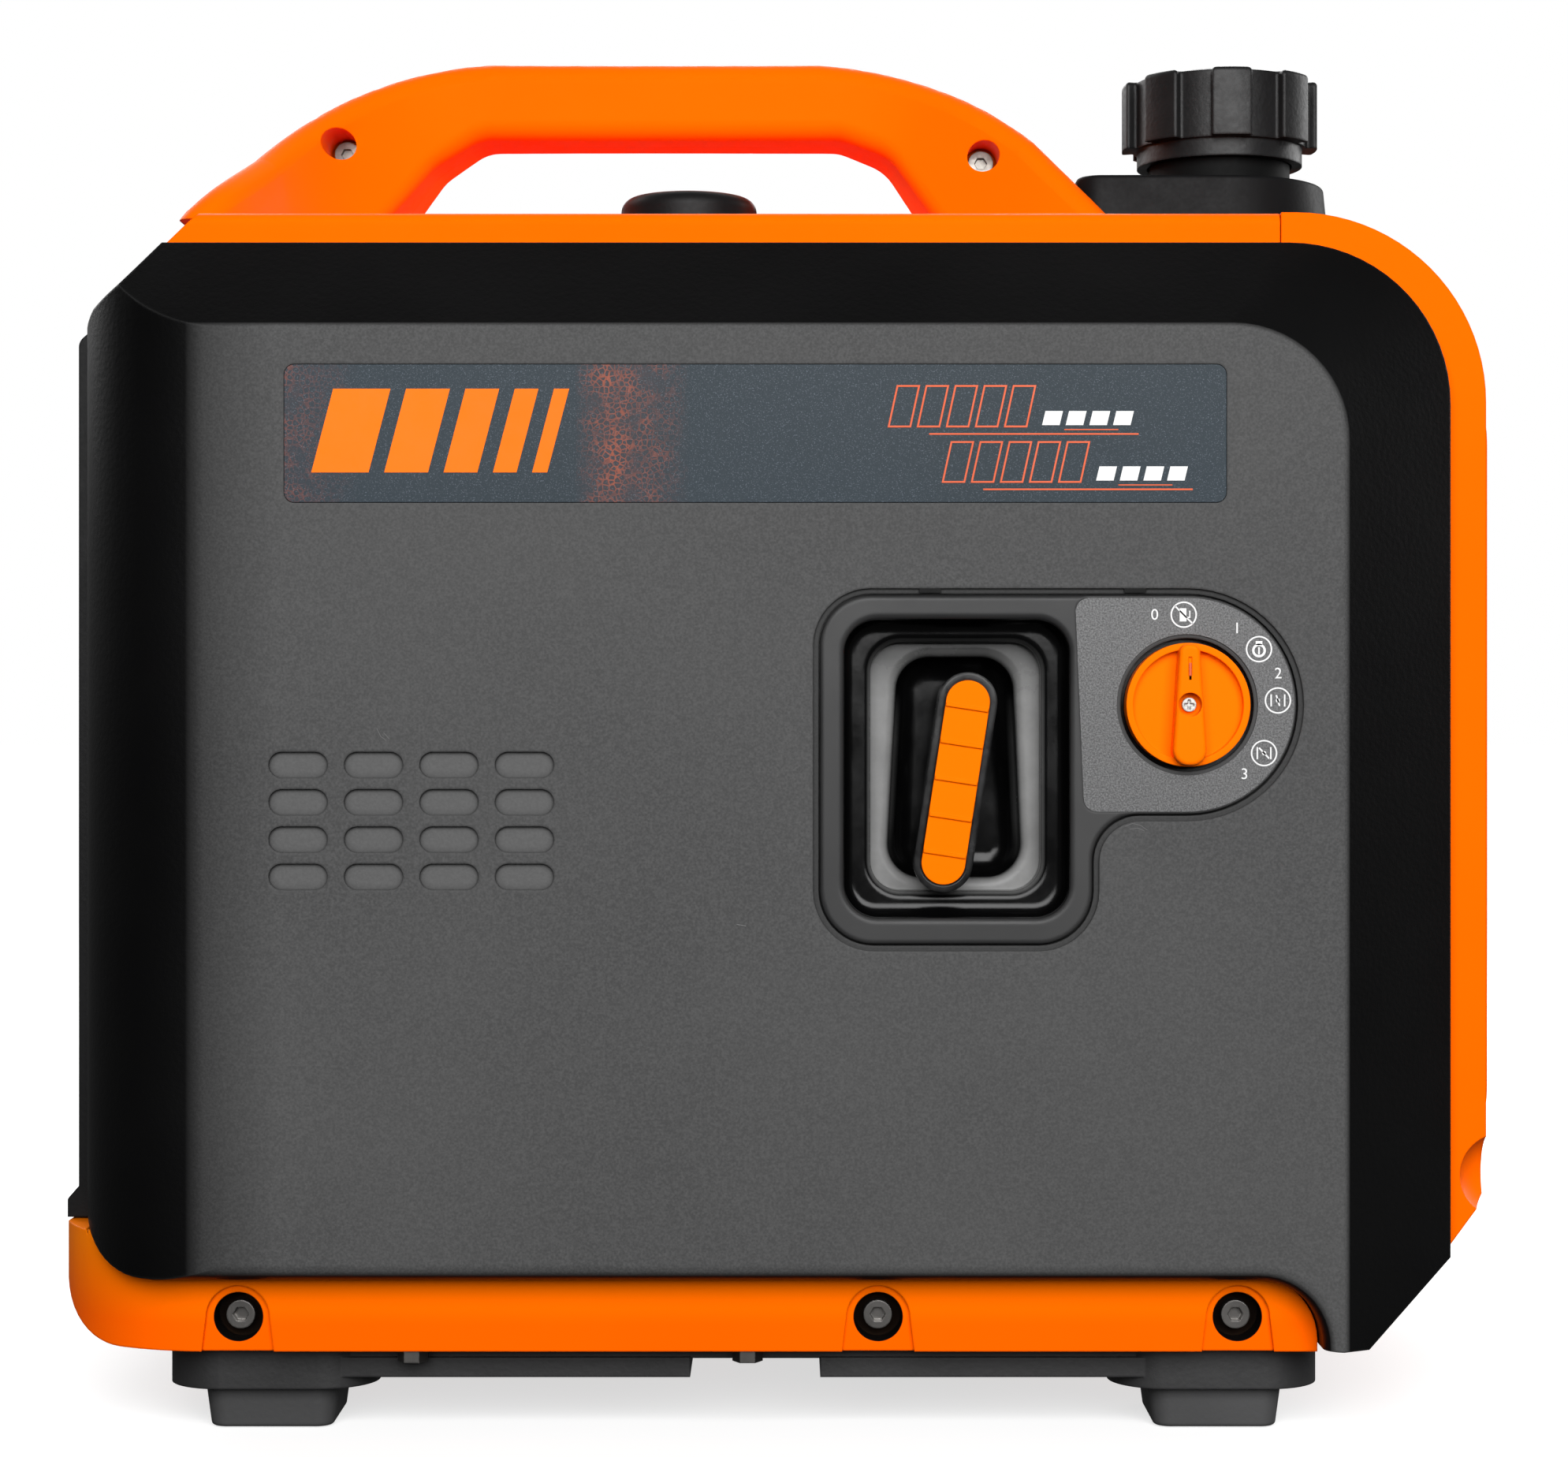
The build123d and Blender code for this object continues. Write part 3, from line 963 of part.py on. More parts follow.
def electronics():
    """Inverter module with its cooling fins."""
    module = box(-184, -164, -74, 74, 64, 172)
    for i in range(13):
        module += box(-164.1, -144, -73.5 + i * 12, -71 + i * 12, 66, 170)
    keep("inverter_module", module)


# ---------------------------------------------------------------- caps
def fuel_cap():
    """Lobed fuel cap with a bayonet plug inside it and a vent lever on top."""
    plug = post(FILLER_X, 0, 388.5, 410.5, 19.9) - post(FILLER_X, 0, 388, 408, 17.5)
    plug += post(FILLER_X, 0, 409.8, 413.8, 24)
    plug += post(FILLER_X, 0, 413.7, 420, 4)
    keep("fuel_cap_plug", plug)
    cap = post(FILLER_X, 0, 409.8, 432, 29.2) + post(FILLER_X, 0, 403.8, 410, 27.9)
    lobes = Circle(CAP_R) - Circle(20)
    for i in range(8):
        lobes -= Rot(0, 0, i * 45 + 22.5) * Pos(CAP_R, 0) * Rectangle(14, 11.5)
    lobes = lobes + Circle(29.2)
    grip = extrude(Pos(FILLER_X, 0, 409.8) * lobes, amount=22.6, dir=(0, 0, 1))
    grip = soften(grip, grip.edges().filter_by(Axis.Z), 0.9)
    grip = soften(grip, grip.faces().sort_by(Axis.Z)[-1].edges(), 1.6)
    cap += grip
    dome = Pos(FILLER_X, 0, 431.5) * Cone(27.5, 21.5, 2.4, align=(Align.CENTER, Align.CENTER, Align.MIN))
    cap += dome + post(FILLER_X, 0, 431, 434.2, 8)
    cap -= post(FILLER_X, 0, 400, 414.1, 24.5) + post(FILLER_X, 0, 413, 420.3, 4.05)
    keep("fuel_cap", cap)
    lever = post(FILLER_X, 0, 434.4, 436.2, 6.5)
    lever += box(FILLER_X - 17, FILLER_X, -3.5, 3.5, 434.4, 435.8)
    keep("cap_vent_lever", lever)


def plug_access_cap():
    """Low round cap over the spark plug's access hole."""
    cap = post(PLUG_CAP_X, PLUG_CAP_Y, DECK_Z + 0.1, 383.5, 21.8)
    cap = soften(cap, cap.faces().sort_by(Axis.Z)[-1].edges(), 4.5)
    cap += post(PLUG_CAP_X, PLUG_CAP_Y, 367, DECK_Z + 0.2, SPARK_HOLE_R - 0.3)
    cap -= post(PLUG_CAP_X, PLUG_CAP_Y, 360, 380, SPARK_HOLE_R - 3)
    keep("plug_access_cap", cap)


keep_screws = top_cover() + rear_frame() + control_panel()
keep("case_screws", *keep_screws)
keep("base_fasteners", *base_pan(), *engine_cradle())
steps = (
    starter_side_cover,
    service_side_cover,
    service_door,
    filler_shroud,
    skids_and_feet,
    front_frame,
    panel_movers,
    starter_bezel,
    dial_knob,
    starter_grip,
    recoil_starter,
    flywheel,
    engine,
    crank_and_alternator,
    fuel_and_air,
    exhaust,
    electronics,
    fuel_cap,
    plug_access_cap,
)
for step in steps:
    step()

for name, shape in nodes.items():
    export_step(shape, f"parts/{name}.step")
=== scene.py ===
"""Looks for the portable generator: materials, printed marks, starter rope, studio light and camera."""

import json
import math

import bmesh
import bpy
from mathutils import Matrix, Vector


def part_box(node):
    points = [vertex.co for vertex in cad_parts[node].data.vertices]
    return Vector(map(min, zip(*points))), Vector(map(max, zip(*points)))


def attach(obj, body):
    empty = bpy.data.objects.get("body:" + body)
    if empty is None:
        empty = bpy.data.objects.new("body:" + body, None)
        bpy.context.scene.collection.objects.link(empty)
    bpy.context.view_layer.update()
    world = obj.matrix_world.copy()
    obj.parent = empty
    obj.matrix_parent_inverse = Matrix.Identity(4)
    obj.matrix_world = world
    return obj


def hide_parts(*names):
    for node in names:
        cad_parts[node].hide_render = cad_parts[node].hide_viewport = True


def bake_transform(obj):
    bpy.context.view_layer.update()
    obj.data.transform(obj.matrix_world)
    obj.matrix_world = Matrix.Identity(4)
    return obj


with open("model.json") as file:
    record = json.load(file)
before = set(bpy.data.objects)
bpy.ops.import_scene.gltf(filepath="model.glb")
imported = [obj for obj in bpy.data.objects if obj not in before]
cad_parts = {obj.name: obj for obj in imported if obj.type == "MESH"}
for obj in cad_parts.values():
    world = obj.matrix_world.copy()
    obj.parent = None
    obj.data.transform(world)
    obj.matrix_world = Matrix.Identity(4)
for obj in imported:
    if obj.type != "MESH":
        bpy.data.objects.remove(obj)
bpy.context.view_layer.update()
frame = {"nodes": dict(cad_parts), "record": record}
cad = frame["nodes"]
MM = 0.001

ORANGE = (1.0, 0.128, 0.0)
# where the base tray's bolts sit, in mm
BOLTS_X = (-164.0, 28.3, 136.3)
BOLT_Z = 36.2


# ------------------------------------------------------------------ shader helpers
def new_material(name):
    mat = bpy.data.materials.new(name)
    mat.use_nodes = True
    tree = mat.node_tree
    return mat, tree, tree.nodes["Principled BSDF"]


def add(tree, kind, **values):
    node = tree.nodes.new(kind)
    for key, value in values.items():
        setattr(node, key, value)
    return node


def link(tree, source, target):
    tree.links.new(source, target)


def coords(tree):
    return add(tree, "ShaderNodeTexCoord").outputs["Object"]


def noise(tree, vector, scale, detail=3.0, rough=0.5):
    node = add(tree, "ShaderNodeTexNoise")
    node.inputs["Scale"].default_value = scale
    node.inputs["Detail"].default_value = detail
    node.inputs["Roughness"].default_value = rough
    link(tree, vector, node.inputs["Vector"])
    return node.outputs["Fac"]


def ramp(tree, value, low, high, start, stop):
    """Map low..high to start..stop, and hold the ends."""
    node = add(tree, "ShaderNodeMapRange")
    node.inputs["From Min"].default_value = low
    node.inputs["From Max"].default_value = high
    node.inputs["To Min"].default_value = start
    node.inputs["To Max"].default_value = stop
    link(tree, value, node.inputs["Value"])
    return node.outputs["Result"]


def maths(tree, operation, a, b=None):
    node = add(tree, "ShaderNodeMath", operation=operation)
    for socket, value in zip(node.inputs, (a, b)):
        if value is None:
            continue
        if isinstance(value, (int, float)):
            socket.default_value = value
        else:
            link(tree, value, socket)
    return node.outputs["Value"]


def product(tree, *factors):
    result = factors[0]
    for factor in factors[1:]:
        result = maths(tree, "MULTIPLY", result, factor)
    return result


def absolute(tree, value, centre=0.0):
    """Distance of a value from a centre."""
    offset = maths(tree, "ADD", value, -centre) if centre else value
    return maths(tree, "ABSOLUTE", offset)


def axes(tree, vector):
    """X, Y and Z of a vector."""
    node = add(tree, "ShaderNodeSeparateXYZ")
    link(tree, vector, node.inputs["Vector"])
    return node.outputs["X"], node.outputs["Y"], node.outputs["Z"]


def vector_maths(tree, operation, first, second=None):
    node = add(tree, "ShaderNodeVectorMath", operation=operation)
    link(tree, first, node.inputs[0])
    if isinstance(second, tuple):
        node.inputs[1].default_value = second
    elif second is not None:
        link(tree, second, node.inputs[1])
    return node.outputs["Value" if operation in ("LENGTH", "DOT_PRODUCT") else "Vector"]


def cells(tree, vector, feature, scale, randomness=1.0):
    node = add(tree, "ShaderNodeTexVoronoi", feature=feature)
    node.inputs["Scale"].default_value = scale
    node.inputs["Randomness"].default_value = randomness
    link(tree, vector, node.inputs["Vector"])
    return node.outputs["Distance"]


def blend_colours(tree, factor, first, second):
    node = add(tree, "ShaderNodeMix", data_type="RGBA")
    if isinstance(factor, (int, float)):
        node.inputs["Factor"].default_value = factor
    else:
        link(tree, factor, node.inputs["Factor"])
    for index, value in ((6, first), (7, second)):
        if isinstance(value, tuple):
            node.inputs[index].default_value = (*value, 1.0)
        else:
            link(tree, value, node.inputs[index])
    return node.outputs[2]


def stretched(tree, vector, scale):
    """Coordinates with their own scale along each axis, for brushed streaks."""
    node = add(tree, "ShaderNodeMapping")
    node.inputs["Scale"].default_value = scale
    link(tree, vector, node.inputs["Vector"])
    return node.outputs["Vector"]


def edge_wear(tree, radius):
    """Softened normal, and a mask that is 1 on sharp outer edges."""
    rounder = add(tree, "ShaderNodeBevel", samples=4)
    rounder.inputs["Radius"].default_value = radius
    soft = rounder.outputs["Normal"]
    sharp = add(tree, "ShaderNodeNewGeometry").outputs["Normal"]
    agreement = vector_maths(tree, "DOT_PRODUCT", soft, sharp)
    return soft, ramp(tree, agreement, 0.97, 0.80, 0.0, 1.0)


def crevice(tree, distance):
    """Ambient occlusion for painting shade: 0 in tight corners and 1 in the open."""
    node = add(tree, "ShaderNodeAmbientOcclusion", samples=4)
    node.inputs["Distance"].default_value = distance
    return ramp(tree, node.outputs["AO"], 0.25, 0.85, 0.0, 1.0)


def bump(tree, shader, height, strength, distance, normal):
    node = add(tree, "ShaderNodeBump")
    node.inputs["Strength"].default_value = strength
    node.inputs["Distance"].default_value = distance
    link(tree, height, node.inputs["Height"])
    link(tree, normal, node.inputs["Normal"])
    link(tree, node.outputs["Normal"], shader.inputs["Normal"])


def plastic(
    name, colour, rough, grain=0.15, grain_scale=900.0, specular=0.45, vary=0.12, edge=0.0008,
    coat=0.0, wear=0.35,
):
    """Moulded plastic: fine grain, slow tone changes, scuffs in its gloss and paler worn edges."""
    mat, tree, shader = new_material(name)
    place = coords(tree)
    slow = noise(tree, place, 9.0, 3.0)
    fine = noise(tree, place, grain_scale, 2.0)
    scuff = noise(tree, place, 70.0, 6.0, 0.7)
    normal, worn = edge_wear(tree, edge)
    dark = tuple(c * (1.0 - vary) for c in colour)
    bright = tuple(min(1.0, c * (1.0 + vary)) for c in colour)
    rubbed = tuple(min(1.0, c * 1.5 + 0.012) for c in colour)
    tone = blend_colours(tree, ramp(tree, slow, 0.3, 0.7, 0.0, 1.0), dark, bright)
    rub = maths(tree, "MULTIPLY", worn, ramp(tree, scuff, 0.45, 0.65, 0.0, wear))
    tone = blend_colours(tree, rub, tone, rubbed)
    link(tree, tone, shader.inputs["Base Color"])
    gloss = ramp(tree, scuff, 0.35, 0.75, rough - 0.05, rough + 0.08)
    gloss = maths(tree, "ADD", gloss, ramp(tree, fine, 0.3, 0.7, -0.03, 0.03))
    link(tree, gloss, shader.inputs["Roughness"])
    shader.inputs["Specular IOR Level"].default_value = specular
    shader.inputs["Coat Weight"].default_value = coat
    shader.inputs["Coat Roughness"].default_value = 0.15
    bump(tree, shader, fine, grain, 0.0002, normal)
    return mat


def metal(name, colour, rough, streak=0.3, edge=0.0005, scale=(1.0, 1.0, 0.06)):
    """Bare metal with fine brushing, stains and brighter worn edges."""
    mat, tree, shader = new_material(name)
    place = coords(tree)
    brushed = noise(tree, stretched(tree, place, scale), 900.0, 3.0)
    stain = noise(tree, place, 40.0, 5.0, 0.65)
    normal, worn = edge_wear(tree, edge)
    stained = tuple(c * 0.6 for c in colour)
    bright = tuple(min(1.0, c * 1.25) for c in colour)
    tone = blend_colours(tree, ramp(tree, stain, 0.35, 0.75, 0.0, 1.0), colour, stained)
    tone = blend_colours(tree, ramp(tree, worn, 0.0, 1.0, 0.0, 0.4), tone, bright)
    link(tree, tone, shader.inputs["Base Color"])
    link(tree, ramp(tree, stain, 0.3, 0.8, rough - 0.08, rough + 0.15), shader.inputs["Roughness"])
    shader.inputs["Metallic"].default_value = 1.0
    bump(tree, shader, brushed, streak, 0.0002, normal)
    return mat


# ------------------------------------------------------------------ the object's materials
def cover_material():
    """Side cover: leather-grained grey on the flat face, painted darker towards its rounded left end as
    shade; the bevels, the same moulding turned from the light, are smoother and painted near black as
    shade.
    """
    mat, tree, shader = new_material("cover_grain")
    place = coords(tree)
    x, y, z = axes(tree, place)
    depth = absolute(tree, y)
    fine = noise(tree, place, 1500.0, 2.0)
    slow = noise(tree, place, 7.0, 4.0, 0.6)
    normal, worn = edge_wear(tree, 0.0012)

    # the flat face and the shallow floors of the vents are grey, and the grey fades out to the left as
    # painted shade of the broad rounding there
    vents_x, vents_half_width = -0.1104, 0.046
    vents_z, vents_half_height = 0.1856, 0.024
    left_shade_from, left_shade_to = -0.190, -0.150
    across = ramp(tree, absolute(tree, x, vents_x), vents_half_width, vents_half_width + 0.0002, 1.0, 0.0)
    level = ramp(tree, absolute(tree, z, vents_z), vents_half_height, vents_half_height + 0.0002, 1.0, 0.0)
    shallow = ramp(tree, depth, 0.1425, 0.1430, 0.0, 1.0)
    vents = product(tree, across, level, shallow)
    face = maths(tree, "MAXIMUM", ramp(tree, depth, 0.1436, 0.1446, 0.0, 1.0), vents)
    face = product(tree, face, ramp(tree, x, left_shade_from, left_shade_to, 0.10, 1.0))

    drift = ramp(tree, slow, 0.3, 0.72, 0.0, 1.0)
    grey = blend_colours(tree, drift, (0.047, 0.047, 0.0475), (0.062, 0.062, 0.062))
    grey = blend_colours(tree, ramp(tree, fine, 0.35, 0.75, 0.0, 0.5), grey, (0.105, 0.105, 0.105))
    # painted highlight: the vent floors, and a thin strip along the edge of the flat face, are painted
    # paler grey
    vent_floor_highlight = product(tree, ramp(tree, depth, 0.1438, 0.1442, 1.0, 0.0), 0.5)
    grey = blend_colours(tree, vent_floor_highlight, grey, (0.12, 0.12, 0.12))
    # painted shade: tight corners, such as the vent edges, are darkened to near black
    grey = blend_colours(tree, crevice(tree, 0.0022), (0.006, 0.006, 0.006), grey)
    drift = ramp(tree, slow, 0.3, 0.7, 0.0, 1.0)
    # painted shade: the bevels, and the left end of the flat face, are painted this near black
    black = blend_colours(tree, drift, (0.0013, 0.0013, 0.0014), (0.0026, 0.0026, 0.0027))
    tone = blend_colours(tree, face, black, grey)
    tone = blend_colours(tree, product(tree, worn, 0.25), tone, (0.11, 0.11, 0.11))
    link(tree, tone, shader.inputs["Base Color"])

    rough = ramp(tree, face, 0.0, 1.0, 0.42, 0.62)
    rough = maths(tree, "ADD", rough, ramp(tree, slow, 0.3, 0.7, -0.04, 0.05))
    link(tree, rough, shader.inputs["Roughness"])
    shader.inputs["Specular IOR Level"].default_value = 0.12
    leather = product(tree, cells(tree, place, "SMOOTH_F1", 620.0), 0.8)
    height = maths(tree, "ADD", leather, product(tree, fine, 0.5))
    bump(tree, shader, height, 0.22, 0.0003, normal)
    return mat


def plate_material():
    """Name plate film: dark slate blue with metal flake, and a crackle print that fades in twice."""
    mat, tree, shader = new_material("plate_film")
    place = coords(tree)
    x = axes(tree, place)[0]
    flake = noise(tree, place, 2600.0, 1.0)
    slow = noise(tree, place, 12.0, 3.0)
    drift = ramp(tree, slow, 0.3, 0.7, 0.0, 1.0)
    base = blend_colours(tree, drift, (0.008, 0.018, 0.026), (0.013, 0.024, 0.034))
    base = blend_colours(tree, ramp(tree, flake, 0.58, 0.76, 0.0, 0.5), base, (0.10, 0.125, 0.16))

    lines = ramp(tree, cells(tree, place, "DISTANCE_TO_EDGE", 620.0, 0.8), 0.03, 0.14, 1.0, 0.0)
    patches = ramp(tree, noise(tree, place, 150.0, 3.0), 0.36, 0.62, 0.15, 1.0)
    at_left_end = ramp(tree, x, -0.149, -0.126, 0.30, 0.0)
    after_bars = ramp(tree, x, -0.062, -0.052, 0.0, 1.0)
    fading = ramp(tree, x, -0.052, -0.028, 1.0, 0.0)
    middle = product(tree, maths(tree, "MINIMUM", after_bars, fading), 0.75)
    zones = maths(tree, "MAXIMUM", at_left_end, middle)
    crackle = product(tree, lines, patches, zones)
    glow = product(tree, zones, 0.07)
    colour = blend_colours(tree, maths(tree, "MAXIMUM", crackle, glow), base, (0.34, 0.07, 0.025))
    link(tree, colour, shader.inputs["Base Color"])
    link(tree, ramp(tree, flake, 0.3, 0.7, 0.42, 0.32), shader.inputs["Roughness"])
    shader.inputs["Specular IOR Level"].default_value = 0.16
    bump(tree, shader, flake, 0.12, 0.0001, edge_wear(tree, 0.0002)[0])
    return mat


def dial_material():
    """Dial plate film: speckled mid grey."""
    mat, tree, shader = new_material("dial_film")
    place = coords(tree)
    flake = noise(tree, place, 1900.0, 2.0, 0.7)
    speckle = ramp(tree, flake, 0.36, 0.66, 0.0, 1.0)
    colour = blend_colours(tree, speckle, (0.026, 0.026, 0.027), (0.118, 0.118, 0.12))
    link(tree, colour, shader.inputs["Base Color"])
    link(tree, ramp(tree, flake, 0.3, 0.7, 0.5, 0.38), shader.inputs["Roughness"])
    bump(tree, shader, flake, 0.25, 0.0002, edge_wear(tree, 0.0002)[0])
    return mat


def bezel_material():
    """Starter bezel: satin grey on its flat face; down in the recess it is glossy and painted near black
    as shade, with painted highlights on a shelf and on the bowl's side walls.
    """
    mat, tree, shader = new_material("bezel_moulding")
    place = coords(tree)
    y, z = axes(tree, place)[1:]
    depth = absolute(tree, y)
    normal_x, normal_y = axes(tree, add(tree, "ShaderNodeNewGeometry").outputs["Normal"])[:2]
    fine = noise(tree, place, 700.0, 2.0)
    slow = noise(tree, place, 14.0, 3.0)
    smudge = noise(tree, place, 60.0, 5.0, 0.7)
    normal, worn = edge_wear(tree, 0.0009)

    # painted highlight: the second shelf of the recess is painted pale, most where it faces out of the
    # recess and least along its top
    shelf_highlight = product(
        tree,
        ramp(tree, depth, 0.1190, 0.1225, 0.0, 1.0),
        ramp(tree, depth, 0.1300, 0.1312, 1.0, 0.0),
        ramp(tree, normal_y, -0.85, -0.2, 1.0, 0.25),
        ramp(tree, z, 0.222, 0.238, 1.0, 0.35),
        ramp(tree, smudge, 0.3, 0.7, 0.75, 1.0),
    )
    # painted highlights: faint upright streaks on the side walls of the bowl
    streaks = product(
        tree,
        ramp(tree, absolute(tree, normal_x), 0.5, 0.9, 0.0, 1.0),
        ramp(tree, absolute(tree, z, 0.198), 0.012, 0.026, 1.0, 0.0),
        ramp(tree, depth, 0.1135, 0.1160, 0.0, 1.0),
        ramp(tree, depth, 0.1190, 0.1210, 1.0, 0.0),
        0.3,
    )
    # both painted highlights in one mask, which also roughens them a little
    rubbed = maths(tree, "MAXIMUM", shelf_highlight, streaks)

    face = ramp(tree, depth, 0.1432, 0.1440, 0.0, 1.0)
    drift = ramp(tree, slow, 0.3, 0.7, 0.0, 1.0)
    satin = blend_colours(tree, drift, (0.020, 0.020, 0.0205), (0.034, 0.034, 0.034))
    # painted shade: the recess is painted near black, the flat face satin grey
    tone = blend_colours(tree, face, (0.0016, 0.0016, 0.0017), satin)
    tone = blend_colours(tree, product(tree, worn, 0.3), tone, (0.16, 0.16, 0.16))
    tone = blend_colours(tree, rubbed, tone, (0.20, 0.20, 0.198))
    link(tree, tone, shader.inputs["Base Color"])
    rough = ramp(tree, face, 0.0, 1.0, 0.16, 0.40)
    rough = maths(tree, "ADD", rough, ramp(tree, smudge, 0.35, 0.75, -0.03, 0.08))
    rough = maths(tree, "ADD", rough, product(tree, rubbed, 0.2))
    link(tree, rough, shader.inputs["Roughness"])
    shader.inputs["Specular IOR Level"].default_value = 0.25
    bump(tree, shader, fine, 0.04, 0.0002, normal)
    return mat


def base_material():
    """Orange base tray: painted paler amber towards its top as light against the shadow of the cover's
    overhang, and near black inside its bolt recesses.
    """
    mat = plastic("orange_base_moulding", (1.0, 0.115, 0.0), **ORANGE_SKIN)
    tree = mat.node_tree
    shader = tree.nodes["Principled BSDF"]
    moulding = shader.inputs["Base Color"].links[0].from_socket
    place = coords(tree)
    # near black inside the bolt recesses, within about 7.4 mm of each bolt's axis
    bolt_recess_dark = None
    for x in BOLTS_X:
        from_bolt = vector_maths(tree, "SUBTRACT", place, (x * MM, 0, BOLT_Z * MM))
        from_axis = vector_maths(tree, "MULTIPLY", from_bolt, (1, 0, 1))
        inside = ramp(tree, vector_maths(tree, "LENGTH", from_axis), 0.00735, 0.00755, 1.0, 0.0)
        bolt_recess_dark = inside if bolt_recess_dark is None else maths(tree, "MAXIMUM", bolt_recess_dark, inside)
    # painted light: paler amber towards the top of the tray, where the cover's overhang shades it
    upper = ramp(tree, axes(tree, place)[2], 0.034, 0.056, 0.0, 0.5)
    colour = blend_colours(tree, upper, moulding, (1.0, 0.300, 0.0))
    colour = blend_colours(tree, bolt_recess_dark, colour, (0.004, 0.004, 0.004))
    link(tree, colour, shader.inputs["Base Color"])
    return mat


def screw_material(name, low, high, level):
    """Screws of one node: blackened below a height, and bare metal above it."""
    mat, tree, shader = new_material(name)
    place = coords(tree)
    upper = ramp(tree, axes(tree, place)[2], level, level + 0.0005, 0.0, 1.0)
    stain = noise(tree, place, 300.0, 4.0, 0.6)
    normal, worn = edge_wear(tree, 0.0004)
    stained = tuple(c * 0.5 for c in low)
    rubbed = tuple(min(1.0, c * 1.6 + 0.05) for c in low)
    tone = blend_colours(tree, upper, low, high)
    tone = blend_colours(tree, ramp(tree, stain, 0.4, 0.8, 0.0, 0.5), tone, stained)
    tone = blend_colours(tree, product(tree, worn, 0.3), tone, rubbed)
    link(tree, tone, shader.inputs["Base Color"])
    link(tree, upper, shader.inputs["Metallic"])
    link(tree, ramp(tree, stain, 0.3, 0.8, 0.28, 0.45), shader.inputs["Roughness"])
    bump(tree, shader, stain, 0.2, 0.0002, normal)
    return mat


def lamp_material(name, colour):
    """Clear coloured lens that glows a little."""
    mat = plastic(name, colour, 0.15, 0.02, 500.0, 0.6, 0.15, 0.0004, coat=0.5)
    shader = mat.node_tree.nodes["Principled BSDF"]
    shader.inputs["Emission Color"].default_value = (*colour, 1.0)
    shader.inputs["Emission Strength"].default_value = 0.15
    return mat


